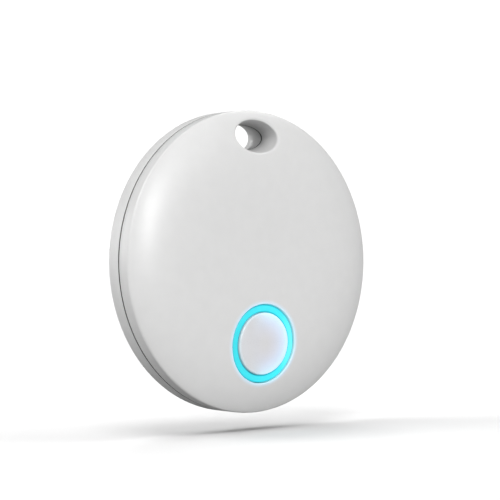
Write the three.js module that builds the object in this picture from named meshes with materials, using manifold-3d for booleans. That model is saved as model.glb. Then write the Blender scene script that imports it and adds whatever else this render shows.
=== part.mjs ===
// A round bluetooth tracker tag with a keyring hole, a push button inside a light ring,
// a snap-off rear cover and a coin cell. Lengths are in millimetres and +Z is up.
// The tag stands upright with its face towards -Y, and the origin is in the keyring hole.
import * as THREE from 'three';
import { mergeVertices } from 'three/addons/utils/BufferGeometryUtils.js';
import Module from 'manifold-3d';

const wasm = await Module();
wasm.setup();

// ---- Housing ----
const TAG_RADIUS = 20;
const FRONT_WALL = 1.92; // from the seam to the edge of the face
const FRONT_RISE = 2.53; // how far the middle of the face stands out from its edge
const FRONT_POWER = 4.43;
const FRONT_ROOT = 1.166;
const REAR_WALL = 2.22;
const REAR_RISE = 1.5;
const REAR_POWER = 2.4;
const REAR_ROOT = 1.2;
const REAR_FLAT_RADIUS = 10;
const FACE_THICKNESS = 1.1;
const COVER_THICKNESS = 0.8;
const SIDE_THICKNESS = 1.2;
const SEAM_GAP = 0.1;
const SKIRT_CLEARANCE = 0.2;
const SKIRT_THICKNESS = 0.9;
const SKIRT_DEPTH = 0.9;
const SNAP_HEIGHT = 0.14;
const SNAP_HALF_WIDTH = 0.15;
const SNAP_DEPTH = 0.5;
const TURN_STEPS = 48;
const OUTER_STEPS = 10;
const INNER_STEPS = 5;

// ---- Keyring hole ----
const HOLE_HEIGHT = 16.5; // above the middle of the tag
const HOLE_HALF_WIDTH = 3.5;
const HOLE_HALF_HEIGHT = 1.6;
const HOLE_WALL = 0.95;
const FLARE_HALF_WIDTH = 3.8;
const FLARE_HALF_HEIGHT = 2.45;
const FLARE_START = 2.3; // from the seam to where the hole begins to widen
const FLARE_REACH = 3.5;
const REAR_FLARE_START = 1.2;
const HOLE_STEPS = 24;

// ---- Button and light ring ----
const BUTTON_HEIGHT = -10.8;
const BUTTON_RADIUS = 4.05;
const BUTTON_FLANGE_RADIUS = 4.65;
const BUTTON_FLANGE_FRONT = -2.9;
const BUTTON_FLANGE_REAR = -2.45;
const BUTTON_HOLLOW_RADIUS = 3.3;
const BUTTON_HOLLOW_FRONT = -3.25;
const PUSHER_RADIUS = 0.9;
const RING_INNER_RADIUS = 4.15;
const RING_OUTER_RADIUS = 5.2;
const RING_RECESS = 0.25;
const RING_COUNTERBORE_RADIUS = 4.75;
const RING_COUNTERBORE_FRONT = -2.95;
const RING_FLANGE_RADIUS = 6.15;
const RING_SEAT = -2.5;
const RING_FLANGE_REAR = -2.1;
const RING_HOUSING_RADIUS = 5.3;
const RING_BOSS_RADIUS = 6.6;
const SEAL_INNER_RADIUS = 3.5;
const SEAL_OUTER_RADIUS = 4.5;
const SHIELD_INNER_RADIUS = 6.2;
const SHIELD_OUTER_RADIUS = 6.55;
const RING_STEPS = 32;

// ---- Switch under the button and lamps under the ring ----
const SWITCH_SIDE = 3.5;
const SWITCH_FRONT = -2.55;
const CHAMBER_RADIUS = 1.3;
const CHAMBER_FRONT = -2.35;
const CHAMBER_REAR = -1.78;
const MOUTH_RADIUS = 0.95;
const PLUNGER_RADIUS = 0.85;
const PLUNGER_FRONT = -2.95;
const PLUNGER_REAR = -2.1;
const PLUNGER_COLLAR_RADIUS = 1.2;
const PLUNGER_COLLAR_FRONT = -2.3;
const DOME_RADIUS = 1.2;
const DOME_RIM = -1.8;
const DOME_RISE = 0.2;
const DOME_THICKNESS = 0.06;
const DOME_RINGS = 4;
const LED_COUNT = 6;
const LED_SIZE = [1, 0.35, 0.5]; // width, thickness, height
const LED_CIRCLE = 5.45;
const SMALL_STEPS = 24;

// ---- Circuit board ----
const BOARD_RADIUS = 17.4;
const BOARD_FRONT = -1.7;
const BOARD_REAR = -0.9;
const NOTCH_HALF_WIDTH = 5.2;
const NOTCH_FLOOR = 13.4;
const SOLDER_GAP = 0.02;

// ---- Screws and their posts ----
const SCREW_PLACES = [[-13.2, 6], [13.2, 6], [-11.3, -9.2], [11.3, -9.2]];
const SCREW_RADIUS = 0.5;
const SCREW_HEAD_RADIUS = 1.05;
const SCREW_HEAD_HEIGHT = 0.5;
const SCREW_TIP = -2.85;
const SCREW_STEPS = 12;
const RECESS_WIDTH = 0.3;
const RECESS_LENGTH = 1.3;
const RECESS_DEPTH = 0.25;
const POST_RADIUS = 1.5;
const POST_REAR = -1.75;
const POST_HOLE_RADIUS = 0.56;
const POST_HOLE_FRONT = -3;
const CLEARANCE_HOLE_RADIUS = 0.7;

// ---- Coin cell and its holder ----
const CELL_HEIGHT = -0.8;
const CELL_RADIUS = 10;
const CELL_FRONT = -0.5;
const CELL_REAR = 2.7;
const CELL_WALL = 0.25;
const CELL_CAP_RADIUS = 8.9;
const CELL_CAN_FRONT = -0.2;
const HOLDER_BORE = 10.3;
const HOLDER_RADIUS = 11.3;
const HOLDER_FRONT = -0.88;
const HOLDER_REAR = 2.2;
const HOLDER_EAR_REAR = 0.4;
const EAR_RADIUS = 2.1;
const CELL_CAP_REAR = 1.2;
const CELL_INSIDE_RADIUS = 8.6;
const ANODE_THICKNESS = 0.75;
const SEPARATOR_THICKNESS = 0.15;
const INSIDE_GAP = 0.05;
const CLIP_HALF_WIDTH = 2;
const CLIP_REAR = 2;
const CLIP_FOOT = 1.8;
const CLIP_STRIP = 0.15;
const CLIP_SLOT = 4;
const BOW_STRIP = 0.12;
const BOW_HALF_LENGTH = 5;
const BOW_FOOT_START = 3.4;
const BOW_CREST_HALF = 1;
const BOW_WIDTH = 3;
const PAD_RADIUS = 5;

// ---- Sounder ----
const SOUNDER_HEIGHT = 3.6;
const SOUNDER_RADIUS = 6.5;
const SOUNDER_SEAT = -3.15;
const FOAM_WIDTH = 0.8;
const FOAM_REAR = -2.82;
const PLATE_FRONT = -2.8;
const PLATE_REAR = -2.62;
const DISC_RADIUS = 4.6;
const DISC_FRONT = -2.6;
const DISC_REAR = -2.45;
const SPRING_STRIP = 0.12;
const SPRING_WIDTH = 1.2;
const SPRING_FOOT = 1.6;
const SPRING_TIP_START = 0.3;
const SPRING_TIP_END = 1.1;
const RIM_SPRING_PLACE = -6.3;
const MIDDLE_SPRING_PLACE = 1;

const SMALL_GAP = 0.02;
const INSIDE_STEPS = 32;

// Distance of the face in front of the seam, at radius r from the middle.
function faceDepth(r) {
  const share = Math.min(r / TAG_RADIUS, 1);
  return FRONT_WALL + FRONT_RISE * (1 - share ** FRONT_POWER) ** (1 / FRONT_ROOT);
}

// Distance of the rear surface behind the seam, at radius r from the middle.
function rearDepth(r) {
  const share = Math.max(0, (r - REAR_FLAT_RADIUS) / (TAG_RADIUS - REAR_FLAT_RADIUS));
  return REAR_WALL + REAR_RISE * (1 - Math.min(share, 1) ** REAR_POWER) ** (1 / REAR_ROOT);
}

// Radii from start to end, closer together towards the end, where the surface curves most.
function radii(start, end, steps) {
  const list = [];
  for (let i = 0; i <= steps; i += 1) {
    const share = 1 - (1 - i / steps) ** 2;
    list.push(start + (end - start) * share);
  }
  return list;
}

// ---- Making solids ----
function toSolid(geometry) {
  const bare = geometry.clone();
  bare.deleteAttribute('normal');
  bare.deleteAttribute('uv');
  const merged = mergeVertices(bare, 1e-4);
  const index = merged.index.array;
  const triangles = [];
  for (let i = 0; i < index.length; i += 3) {
    const [a, b, c] = [index[i], index[i + 1], index[i + 2]];
    if (a !== b && b !== c && c !== a) triangles.push(a, b, c);
  }
  const vertProperties = new Float32Array(merged.attributes.position.array);
  const triVerts = new Uint32Array(triangles);
  return new wasm.Manifold(new wasm.Mesh({ numProp: 3, vertProperties, triVerts }));
}

function toGeometry(solid) {
  const mesh = solid.getMesh();
  const geometry = new THREE.BufferGeometry();
  geometry.setAttribute('position', new THREE.BufferAttribute(mesh.vertProperties, 3));
  geometry.setIndex(new THREE.BufferAttribute(mesh.triVerts, 1));
  geometry.computeVertexNormals();
  return geometry;
}

// A turned solid from [radius, y] points, whose order round the outline may be either way.
function turned(points, steps = TURN_STEPS) {
  let area = 0;
  points.forEach(([r, y], i) => {
    const [nextR, nextY] = points[(i + 1) % points.length];
    area += r * nextY - nextR * y;
  });
  const ordered = area > 0 ? points : [...points].reverse();
  const outline = ordered.map(([r, y]) => new THREE.Vector2(r, y));
  const onAxis = outline[0].x === 0;
  if (!onAxis) outline.push(outline[0].clone());
  return toSolid(new THREE.LatheGeometry(outline, steps));
}

function cylinder(radius, front, rear, steps = RING_STEPS) {
  const geometry = new THREE.CylinderGeometry(radius, radius, rear - front, steps);
  geometry.translate(0, (front + rear) / 2, 0);
  return toSolid(geometry);
}

function tube(inner, outer, front, rear, steps = RING_STEPS) {
  return turned([[inner, front], [outer, front], [outer, rear], [inner, rear]], steps);
}

function block(width, front, rear, height) {
  const geometry = new THREE.BoxGeometry(width, rear - front, height);
  geometry.translate(0, (front + rear) / 2, 0);
  return toSolid(geometry);
}

// A strip of sheet metal from its side view in [x, y] points, bent along X and Y.
function strip(side, width) {
  const shape = new THREE.Shape(side.map(([x, y]) => new THREE.Vector2(x, y)));
  const geometry = new THREE.ExtrudeGeometry(shape, { depth: width, bevelEnabled: false });
  geometry.translate(0, 0, -width / 2);
  return geometry;
}

// An oval column through the keyring hole's middle, which may widen towards either end.
function oval(rearHalf, frontHalf, front, rear) {
  const geometry = new THREE.CylinderGeometry(1, 1, rear - front, HOLE_STEPS);
  const places = geometry.attributes.position;
  for (let i = 0; i < places.count; i += 1) {
    const [halfWidth, halfHeight] = places.getY(i) > 0 ? rearHalf : frontHalf;
    places.setX(i, places.getX(i) * halfWidth);
    places.setZ(i, places.getZ(i) * halfHeight);
  }
  geometry.translate(0, (front + rear) / 2, HOLE_HEIGHT);
  return toSolid(geometry);
}

// Everything behind the face, down to the seam, with the face lowered by a recess.
function behindFace(recess = 0) {
  const face = radii(0, TAG_RADIUS, OUTER_STEPS).map((r) => [r, recess - faceDepth(r)]);
  return turned([...face, [TAG_RADIUS, 0], [0, 0]]);
}

function beforeRear() {
  const start = radii(REAR_FLAT_RADIUS, TAG_RADIUS, OUTER_STEPS - 2);
  const rear = start.map((r) => [r, rearDepth(r)]);
  return turned([[0, rearDepth(0)], ...rear, [TAG_RADIUS, 0], [0, 0]]);
}

// ---- Building the scene graph ----
const tag = new THREE.Group();
tag.position.z = -HOLE_HEIGHT;
const button = new THREE.Group();
button.position.z = BUTTON_HEIGHT;
const cell = new THREE.Group();
cell.position.z = CELL_HEIGHT;
const sounder = new THREE.Group();
sounder.position.z = SOUNDER_HEIGHT;
tag.add(button, cell, sounder);

const looks = {
  housing: { color: 0xe2e2e0, roughness: 0.42 },
  button: { color: 0xe0e0e4, roughness: 0.4 },
  light: { color: 0x46e4f2, roughness: 0.35 },
  shield: { color: 0x1c1c1e, roughness: 0.9 },
  board: { color: 0x1f5a3a, roughness: 0.5 },
  chip: { color: 0x202124, roughness: 0.45 },
  ceramic: { color: 0xb8a78c, roughness: 0.5 },
  antenna: { color: 0xe6e2d6, roughness: 0.45 },
  lens: { color: 0xf0ead2, roughness: 0.25 },
  holder: { color: 0x2a2b2e, roughness: 0.55 },
  rubber: { color: 0xd9d9d6, roughness: 0.8 },
  steel: { color: 0xc4c6c8, roughness: 0.3, metalness: 1 },
  brass: { color: 0xc9a457, roughness: 0.35, metalness: 1 },
  gold: { color: 0xd8b25a, roughness: 0.3, metalness: 1 },
  piezo: { color: 0xe9e6dc, roughness: 0.5 },
  pellet: { color: 0x3b3b3d, roughness: 0.85 },
};

function place(group, name, shape, look) {
  const geometry = shape.isBufferGeometry ? shape : toGeometry(shape);
  const mesh = new THREE.Mesh(geometry, new THREE.MeshStandardMaterial(looks[look]));
  mesh.name = name;
  group.add(mesh);
  return mesh;
}

// ---- Housing ----
function keyringColumn(envelope, front, rear) {
  const half = [HOLE_HALF_WIDTH + HOLE_WALL, HOLE_HALF_HEIGHT + HOLE_WALL];
  return oval(half, half, front, rear).intersect(envelope);
}

function keyringHole() {
  const half = [HOLE_HALF_WIDTH, HOLE_HALF_HEIGHT];
  const reach = FRONT_WALL + FRONT_RISE + REAR_WALL;
  return oval(half, half, -reach, reach);
}

function keyringFlare() {
  const half = [HOLE_HALF_WIDTH, HOLE_HALF_HEIGHT];
  const wide = [FLARE_HALF_WIDTH, FLARE_HALF_HEIGHT];
  return oval(half, wide, -FLARE_REACH, -FLARE_START);
}

function keyringRearFlare() {
  const half = [HOLE_HALF_WIDTH, HOLE_HALF_HEIGHT];
  const wide = [FLARE_HALF_WIDTH, FLARE_HALF_HEIGHT];
  return oval(wide, half, REAR_FLARE_START, FLARE_REACH);
}

function frontShell() {
  const innerRadius = TAG_RADIUS - SIDE_THICKNESS;
  const seam = -SEAM_GAP / 2;
  const outer = radii(0, TAG_RADIUS, OUTER_STEPS).map((r) => [r, -faceDepth(r)]);
  const inner = radii(0, innerRadius, INNER_STEPS).map((r) => [r, FACE_THICKNESS - faceDepth(r)]);
  const snap = [
    [innerRadius, -SNAP_DEPTH - SNAP_HALF_WIDTH - SMALL_GAP],
    [innerRadius + SNAP_HEIGHT, -SNAP_DEPTH],
    [innerRadius, -SNAP_DEPTH + SNAP_HALF_WIDTH + SMALL_GAP],
  ];
  const outline = [...outer, [TAG_RADIUS, seam], [innerRadius, seam]];
  outline.push(...snap.reverse(), ...inner.reverse());
  let shell = turned(outline);

  const envelope = behindFace();
  shell = shell.add(keyringColumn(envelope, -FRONT_WALL - FRONT_RISE, seam));
  const boss = cylinder(RING_BOSS_RADIUS, -FRONT_WALL - FRONT_RISE, RING_SEAT, INSIDE_STEPS);
  shell = shell.add(boss.translate([0, 0, BUTTON_HEIGHT]).intersect(envelope));
  const seatInner = SOUNDER_RADIUS - 1;
  const seat = tube(seatInner, SOUNDER_RADIUS, -FRONT_WALL - FRONT_RISE, SOUNDER_SEAT);
  shell = shell.add(seat.translate([0, 0, SOUNDER_HEIGHT]).intersect(envelope));
  for (const [x, z] of SCREW_PLACES) {
    const post = cylinder(POST_RADIUS, -FRONT_WALL - FRONT_RISE, POST_REAR, SMALL_STEPS);
    shell = shell.add(post.translate([x, 0, z]).intersect(envelope));
  }
  for (const [x, z] of SCREW_PLACES) {
    const hole = cylinder(POST_HOLE_RADIUS, POST_HOLE_FRONT, 0, SCREW_STEPS);
    shell = shell.subtract(hole.translate([x, 0, z]));
  }
  const pocket = cylinder(RING_BOSS_RADIUS, RING_SEAT, 0, INSIDE_STEPS);
  const opening = cylinder(RING_HOUSING_RADIUS, -TAG_RADIUS, 0).add(pocket);
  shell = shell.subtract(opening.translate([0, 0, BUTTON_HEIGHT]));
  return shell.subtract(keyringHole()).subtract(keyringFlare());
}

function rearCover() {
  const innerRadius = TAG_RADIUS - SIDE_THICKNESS;
  const skirtOuter = innerRadius - SKIRT_CLEARANCE;
  const skirtInner = skirtOuter - SKIRT_THICKNESS;
  const seam = SEAM_GAP / 2;
  const outer = radii(REAR_FLAT_RADIUS, TAG_RADIUS, OUTER_STEPS - 2).map((r) => [r, rearDepth(r)]);
  const inner = radii(REAR_FLAT_RADIUS, skirtInner, INNER_STEPS);
  const inside = inner.map((r) => [r, rearDepth(r) - COVER_THICKNESS]);
  const snap = [
    [skirtOuter, -SNAP_DEPTH + SNAP_HALF_WIDTH],
    [skirtOuter + SNAP_HEIGHT, -SNAP_DEPTH],
    [skirtOuter, -SNAP_DEPTH - SNAP_HALF_WIDTH],
  ];
  const skirt = [[skirtOuter, seam], ...snap, [skirtOuter, -SKIRT_DEPTH], [skirtInner, -SKIRT_DEPTH]];
  const outline = [[0, rearDepth(0)], ...outer, [TAG_RADIUS, seam], ...skirt];
  outline.push(...inside.reverse(), [0, rearDepth(0) - COVER_THICKNESS]);
  let cover = turned(outline);

  const notch = block(2 * NOTCH_HALF_WIDTH, -2 * SKIRT_DEPTH, seam, TAG_RADIUS);
  cover = cover.subtract(notch.translate([0, 0, NOTCH_FLOOR + TAG_RADIUS / 2]));
  cover = cover.add(keyringColumn(beforeRear(), seam, REAR_WALL + REAR_RISE));
  return cover.subtract(keyringHole()).subtract(keyringRearFlare());
}

function coverPad() {
  const front = CELL_REAR + SMALL_GAP;
  return cylinder(PAD_RADIUS, front, REAR_WALL + REAR_RISE - COVER_THICKNESS - SMALL_GAP, INSIDE_STEPS);
}

// ---- Button, light ring and switch: measured from the button's axis ----
function buttonCap() {
  const envelope = behindFace().translate([0, 0, -BUTTON_HEIGHT]);
  const stem = cylinder(BUTTON_RADIUS, -TAG_RADIUS, BUTTON_FLANGE_FRONT + SMALL_GAP).intersect(envelope);
  const flange = cylinder(BUTTON_FLANGE_RADIUS, BUTTON_FLANGE_FRONT, BUTTON_FLANGE_REAR);
  const hollow = cylinder(BUTTON_HOLLOW_RADIUS, BUTTON_HOLLOW_FRONT, 0);
  const pusherRear = PLUNGER_FRONT - INSIDE_GAP;
  const pusher = cylinder(PUSHER_RADIUS, BUTTON_HOLLOW_FRONT - SMALL_GAP, pusherRear, SMALL_STEPS);
  return stem.add(flange).subtract(hollow).add(pusher);
}

function lightRing() {
  const envelope = behindFace(RING_RECESS).translate([0, 0, -BUTTON_HEIGHT]);
  const collar = cylinder(RING_OUTER_RADIUS, -TAG_RADIUS, RING_FLANGE_REAR).intersect(envelope);
  const flange = cylinder(RING_FLANGE_RADIUS, RING_SEAT + SMALL_GAP, RING_FLANGE_REAR);
  const passage = cylinder(RING_INNER_RADIUS, -TAG_RADIUS, 0);
  const counterbore = cylinder(RING_COUNTERBORE_RADIUS, RING_COUNTERBORE_FRONT, 0);
  return collar.add(flange).subtract(passage).subtract(counterbore);
}

function switchBody() {
  const shell = block(SWITCH_SIDE, SWITCH_FRONT, BOARD_FRONT - SOLDER_GAP, SWITCH_SIDE);
  const chamber = cylinder(CHAMBER_RADIUS, CHAMBER_FRONT, CHAMBER_REAR, SMALL_STEPS);
  const mouth = cylinder(MOUTH_RADIUS, PLUNGER_FRONT, PLUNGER_REAR, SMALL_STEPS);
  return shell.subtract(chamber).subtract(mouth);
}

function switchPlunger() {
  const stem = cylinder(PLUNGER_RADIUS, PLUNGER_FRONT, PLUNGER_REAR, SMALL_STEPS);
  return stem.add(cylinder(PLUNGER_COLLAR_RADIUS, PLUNGER_COLLAR_FRONT, PLUNGER_REAR, SMALL_STEPS));
}

// A thin sprung metal cap that snaps flat under the plunger.
function switchDome() {
  const top = [];
  for (let i = 0; i <= DOME_RINGS; i += 1) {
    const share = i / DOME_RINGS;
    top.push([DOME_RADIUS * share, DOME_RIM - DOME_RISE * (1 - share ** 2)]);
  }
  const front = top.map(([r, y]) => [r, y - DOME_THICKNESS]).reverse();
  return turned([...top, ...front], SMALL_STEPS);
}

function buildButton() {
  const boardGap = BOARD_FRONT - SMALL_GAP;
  const seal = tube(SEAL_INNER_RADIUS, SEAL_OUTER_RADIUS, BUTTON_FLANGE_REAR + SMALL_GAP, boardGap);
  const shield = tube(SHIELD_INNER_RADIUS, SHIELD_OUTER_RADIUS, RING_SEAT + SMALL_GAP, boardGap);
  place(button, 'button_cap', buttonCap(), 'button');
  place(button, 'light_ring', lightRing(), 'light');
  place(button, 'button_seal', seal, 'rubber');
  place(button, 'light_shield', shield, 'shield');
  place(button, 'switch_body', switchBody(), 'chip');
  place(button, 'switch_plunger', switchPlunger(), 'rubber');
  place(button, 'switch_dome', switchDome(), 'steel');
  const ledMiddle = BOARD_FRONT - SOLDER_GAP - LED_SIZE[1] / 2;
  for (let i = 0; i < LED_COUNT; i += 1) {
    const angle = ((i + 0.5) * 2 * Math.PI) / LED_COUNT;
    const led = place(button, `led_${i + 1}`, new THREE.BoxGeometry(...LED_SIZE), 'lens');
    led.position.set(LED_CIRCLE * Math.sin(angle), ledMiddle, LED_CIRCLE * Math.cos(angle));
    led.rotation.y = angle;
  }
}

// ---- Circuit board ----
function mainBoard() {
  let board = cylinder(BOARD_RADIUS, BOARD_FRONT, BOARD_REAR, TURN_STEPS);
  const notch = block(2 * NOTCH_HALF_WIDTH, BOARD_FRONT - 1, BOARD_REAR + 1, TAG_RADIUS);
  board = board.subtract(notch.translate([0, 0, NOTCH_FLOOR + TAG_RADIUS / 2]));
  for (const [x, z] of SCREW_PLACES) {
    const hole = cylinder(CLEARANCE_HOLE_RADIUS, BOARD_FRONT - 1, BOARD_REAR + 1, SCREW_STEPS);
    board = board.subtract(hole.translate([x, 0, z]));
  }
  return board;
}

// A part soldered to the front of the board: size is [width, thickness, height].
function component(name, size, x, z, look) {
  const [width, thickness, height] = size;
  const mesh = place(tag, name, new THREE.BoxGeometry(width, thickness, height), look);
  mesh.position.set(x, BOARD_FRONT - SOLDER_GAP - thickness / 2, z);
}

function buildBoard() {
  const smallPart = [1, 0.5, 0.5];
  const flatPart = [1, 0.35, 0.5];
  const rowPitch = 1.2;
  const rowStart = -4;
  place(tag, 'main_board', mainBoard(), 'board');
  component('radio_chip', [4, 0.75, 4], -10.6, -2.6, 'chip');
  component('main_crystal', [2, 0.5, 1.6], -10.6, 1.4, 'steel');
  component('clock_crystal', [1.5, 0.75, 3.2], -14.3, -2.6, 'steel');
  component('antenna_chip', [2, 0.6, 6.5], 14.6, 0, 'antenna');
  component('sounder_coil', [3, 0.8, 3], 10.4, -2.8, 'chip');
  component('supply_capacitor', [2, 0.8, 1.25], 10.4, 1.2, 'ceramic');
  component('antenna_coil', smallPart, 12.6, 3.2, 'ceramic');
  for (let i = 0; i < 4; i += 1) {
    component(`capacitor_${i + 1}`, smallPart, -7.4, rowStart + i * rowPitch, 'ceramic');
  }
  for (let i = 0; i < 3; i += 1) {
    component(`resistor_${i + 1}`, flatPart, 7.6, rowStart + i * rowPitch, 'chip');
  }
}

// ---- Sounder: a ceramic disc on a brass disc, measured from its own axis ----
// A sprung strip from a foot on the board up to a flat tip in front of it.
function boardSpring(tipFront) {
  const foot = BOARD_FRONT - SOLDER_GAP;
  const side = [
    [0, foot],
    [SPRING_FOOT, foot],
    [SPRING_TIP_START + 2 * SPRING_STRIP, tipFront + SPRING_STRIP],
    [SPRING_TIP_END, tipFront + SPRING_STRIP],
    [SPRING_TIP_END, tipFront],
    [SPRING_TIP_START, tipFront],
    [SPRING_FOOT - 3 * SPRING_STRIP, foot - SPRING_STRIP],
    [0, foot - SPRING_STRIP],
  ];
  return strip(side, SPRING_WIDTH);
}

function buildSounder() {
  const foamFront = SOUNDER_SEAT + SMALL_GAP;
  const foam = tube(SOUNDER_RADIUS - FOAM_WIDTH, SOUNDER_RADIUS, foamFront, FOAM_REAR);
  place(sounder, 'sounder_foam', foam, 'shield');
  place(sounder, 'sounder_plate', cylinder(SOUNDER_RADIUS, PLATE_FRONT, PLATE_REAR), 'brass');
  place(sounder, 'sounder_disc', cylinder(DISC_RADIUS, DISC_FRONT, DISC_REAR), 'piezo');
  const rim = place(sounder, 'sounder_spring_1', boardSpring(PLATE_REAR + SMALL_GAP), 'gold');
  rim.position.x = RIM_SPRING_PLACE;
  const middle = place(sounder, 'sounder_spring_2', boardSpring(DISC_REAR + SMALL_GAP), 'gold');
  middle.position.x = MIDDLE_SPRING_PLACE;
}

// ---- Coin cell, holder and contacts: measured from the cell's axis ----
function cellCan() {
  const inner = CELL_RADIUS - CELL_WALL;
  const rear = CELL_REAR - CELL_WALL;
  const front = CELL_CAN_FRONT;
  const cup = [[0, CELL_REAR], [CELL_RADIUS, CELL_REAR], [CELL_RADIUS, front], [inner, front]];
  return turned([...cup, [inner, rear], [0, rear]], INSIDE_STEPS);
}

function cellCap() {
  const inner = CELL_CAP_RADIUS - CELL_WALL;
  const front = CELL_FRONT + CELL_WALL;
  const rear = CELL_CAP_REAR;
  const cup = [[0, CELL_FRONT], [CELL_CAP_RADIUS, CELL_FRONT], [CELL_CAP_RADIUS, rear], [inner, rear]];
  return turned([...cup, [inner, front], [0, front]], INSIDE_STEPS);
}

// The insulating cuff between the can and the cap.
function cellGasket() {
  const inner = CELL_CAP_RADIUS + INSIDE_GAP;
  const outer = CELL_RADIUS - CELL_WALL - INSIDE_GAP;
  return tube(inner, outer, CELL_CAN_FRONT, CELL_CAP_REAR + 0.1, INSIDE_STEPS);
}

function cellDisc(front, rear) {
  return cylinder(CELL_INSIDE_RADIUS, front, rear, INSIDE_STEPS);
}

function cellHolder() {
  let holder = cylinder(HOLDER_RADIUS, HOLDER_FRONT, HOLDER_REAR, INSIDE_STEPS);
  for (const [x, z] of SCREW_PLACES) {
    const dz = z - CELL_HEIGHT;
    const distance = Math.hypot(x, dz);
    const arm = block(distance, HOLDER_FRONT, HOLDER_EAR_REAR, 2 * EAR_RADIUS);
    const turn = (-Math.atan2(dz, x) * 180) / Math.PI;
    const ear = cylinder(EAR_RADIUS, HOLDER_FRONT, HOLDER_EAR_REAR, SMALL_STEPS);
    holder = holder.add(arm.translate([distance / 2, 0, 0]).rotate([0, turn, 0]));
    holder = holder.add(ear.translate([x, 0, dz]));
  }
  for (const [x, z] of SCREW_PLACES) {
    const hole = cylinder(CLEARANCE_HOLE_RADIUS, HOLDER_FRONT - 1, HOLDER_REAR, SCREW_STEPS);
    holder = holder.subtract(hole.translate([x, 0, z - CELL_HEIGHT]));
  }
  holder = holder.subtract(cylinder(HOLDER_BORE, HOLDER_FRONT - 1, HOLDER_REAR + 1, INSIDE_STEPS));
  const slot = block(CLIP_SLOT, HOLDER_FRONT - 1, HOLDER_REAR + 1, 2 * CLIP_HALF_WIDTH + 1);
  return holder.subtract(slot.translate([CELL_RADIUS + CLIP_FOOT, 0, 0]));
}

// A strip standing beside the cell, with a foot on the board.
function sideContact() {
  const near = CELL_RADIUS + 0.08;
  const foot = BOARD_REAR + SOLDER_GAP;
  const side = [
    [near, foot],
    [near + CLIP_FOOT, foot],
    [near + CLIP_FOOT, foot + CLIP_STRIP],
    [near + CLIP_STRIP, foot + CLIP_STRIP],
    [near + CLIP_STRIP, CLIP_REAR],
    [near, CLIP_REAR],
  ];
  return strip(side, 2 * CLIP_HALF_WIDTH);
}

// A bowed strip under the cell, with a foot at each end.
function frontContact() {
  const foot = BOARD_REAR + SOLDER_GAP + BOW_STRIP;
  const crest = CELL_FRONT - SMALL_GAP;
  const right = [[BOW_HALF_LENGTH, foot], [BOW_FOOT_START, foot], [BOW_CREST_HALF, crest]];
  const left = right.map(([x, y]) => [-x, y]).reverse();
  const rear = [...right, ...left];
  const front = rear.map(([x, y]) => [x, y - BOW_STRIP]).reverse();
  return strip([...rear, ...front], BOW_WIDTH);
}

function buildCell() {
  place(cell, 'cell_can', cellCan(), 'steel');
  place(cell, 'cell_cap', cellCap(), 'steel');
  place(cell, 'cell_gasket', cellGasket(), 'shield');
  const anodeFront = CELL_FRONT + CELL_WALL + INSIDE_GAP;
  const anodeRear = anodeFront + ANODE_THICKNESS;
  const separatorFront = anodeRear + INSIDE_GAP;
  const separatorRear = separatorFront + SEPARATOR_THICKNESS;
  const cathodeRear = CELL_REAR - CELL_WALL - INSIDE_GAP;
  place(cell, 'cell_anode', cellDisc(anodeFront, anodeRear), 'steel');
  place(cell, 'cell_separator', cellDisc(separatorFront, separatorRear), 'piezo');
  place(cell, 'cell_cathode', cellDisc(separatorRear + INSIDE_GAP, cathodeRear), 'pellet');
  place(cell, 'cell_holder', cellHolder(), 'holder');
  place(cell, 'side_contact', sideContact(), 'gold');
  place(cell, 'front_contact', frontContact(), 'gold');
}

// ---- Screws ----
function screw() {
  const seat = HOLDER_EAR_REAR + SMALL_GAP;
  const top = seat + SCREW_HEAD_HEIGHT;
  const head = cylinder(SCREW_HEAD_RADIUS, seat, top, SMALL_STEPS);
  const shank = cylinder(SCREW_RADIUS, SCREW_TIP, seat + SMALL_GAP, SCREW_STEPS);
  const recess = block(RECESS_LENGTH, top - RECESS_DEPTH, top + RECESS_DEPTH, RECESS_WIDTH);
  return head.add(shank).subtract(recess).subtract(recess.rotate([0, 90, 0]));
}

function buildScrews() {
  SCREW_PLACES.forEach(([x, z], i) => {
    const mesh = place(tag, `screw_${i + 1}`, screw(), 'steel');
    mesh.position.set(x, 0, z);
  });
}

place(tag, 'front_shell', frontShell(), 'housing');
place(tag, 'rear_cover', rearCover(), 'housing');
place(tag, 'cover_pad', coverPad().translate([0, 0, CELL_HEIGHT]), 'shield');
buildButton();
buildBoard();
buildSounder();
buildCell();
buildScrews();

const root = new THREE.Group();
root.add(tag);
export default root;
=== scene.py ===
"""A round bluetooth tracker tag: white shells, a lit push button, and its board and coin cell inside.

Lengths are metres and +Z is up. The tag stands upright with its face towards -Y. The origin is
in the keyring hole. Pieces are shaped round the middle of the disc, then set down by it.
"""
import math

import bmesh
import bpy
from mathutils import Matrix, Vector


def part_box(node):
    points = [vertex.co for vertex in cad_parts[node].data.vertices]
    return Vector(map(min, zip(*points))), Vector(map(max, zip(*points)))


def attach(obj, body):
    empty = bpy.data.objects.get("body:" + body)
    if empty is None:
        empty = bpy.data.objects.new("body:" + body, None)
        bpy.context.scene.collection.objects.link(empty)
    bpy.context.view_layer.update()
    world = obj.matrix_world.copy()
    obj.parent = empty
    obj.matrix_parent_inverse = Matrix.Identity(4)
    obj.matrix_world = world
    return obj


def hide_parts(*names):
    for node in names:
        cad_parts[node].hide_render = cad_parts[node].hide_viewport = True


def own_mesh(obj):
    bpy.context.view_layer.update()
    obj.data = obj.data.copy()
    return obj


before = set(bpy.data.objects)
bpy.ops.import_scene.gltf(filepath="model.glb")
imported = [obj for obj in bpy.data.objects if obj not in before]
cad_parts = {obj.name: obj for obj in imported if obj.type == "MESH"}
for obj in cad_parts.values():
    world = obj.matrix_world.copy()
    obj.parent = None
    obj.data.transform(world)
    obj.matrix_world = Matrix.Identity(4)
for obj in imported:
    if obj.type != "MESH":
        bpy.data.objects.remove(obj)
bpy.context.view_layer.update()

MM = 0.001
FULL_TURN = 2 * math.pi
SHARP_ANGLE = 0.6

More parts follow.
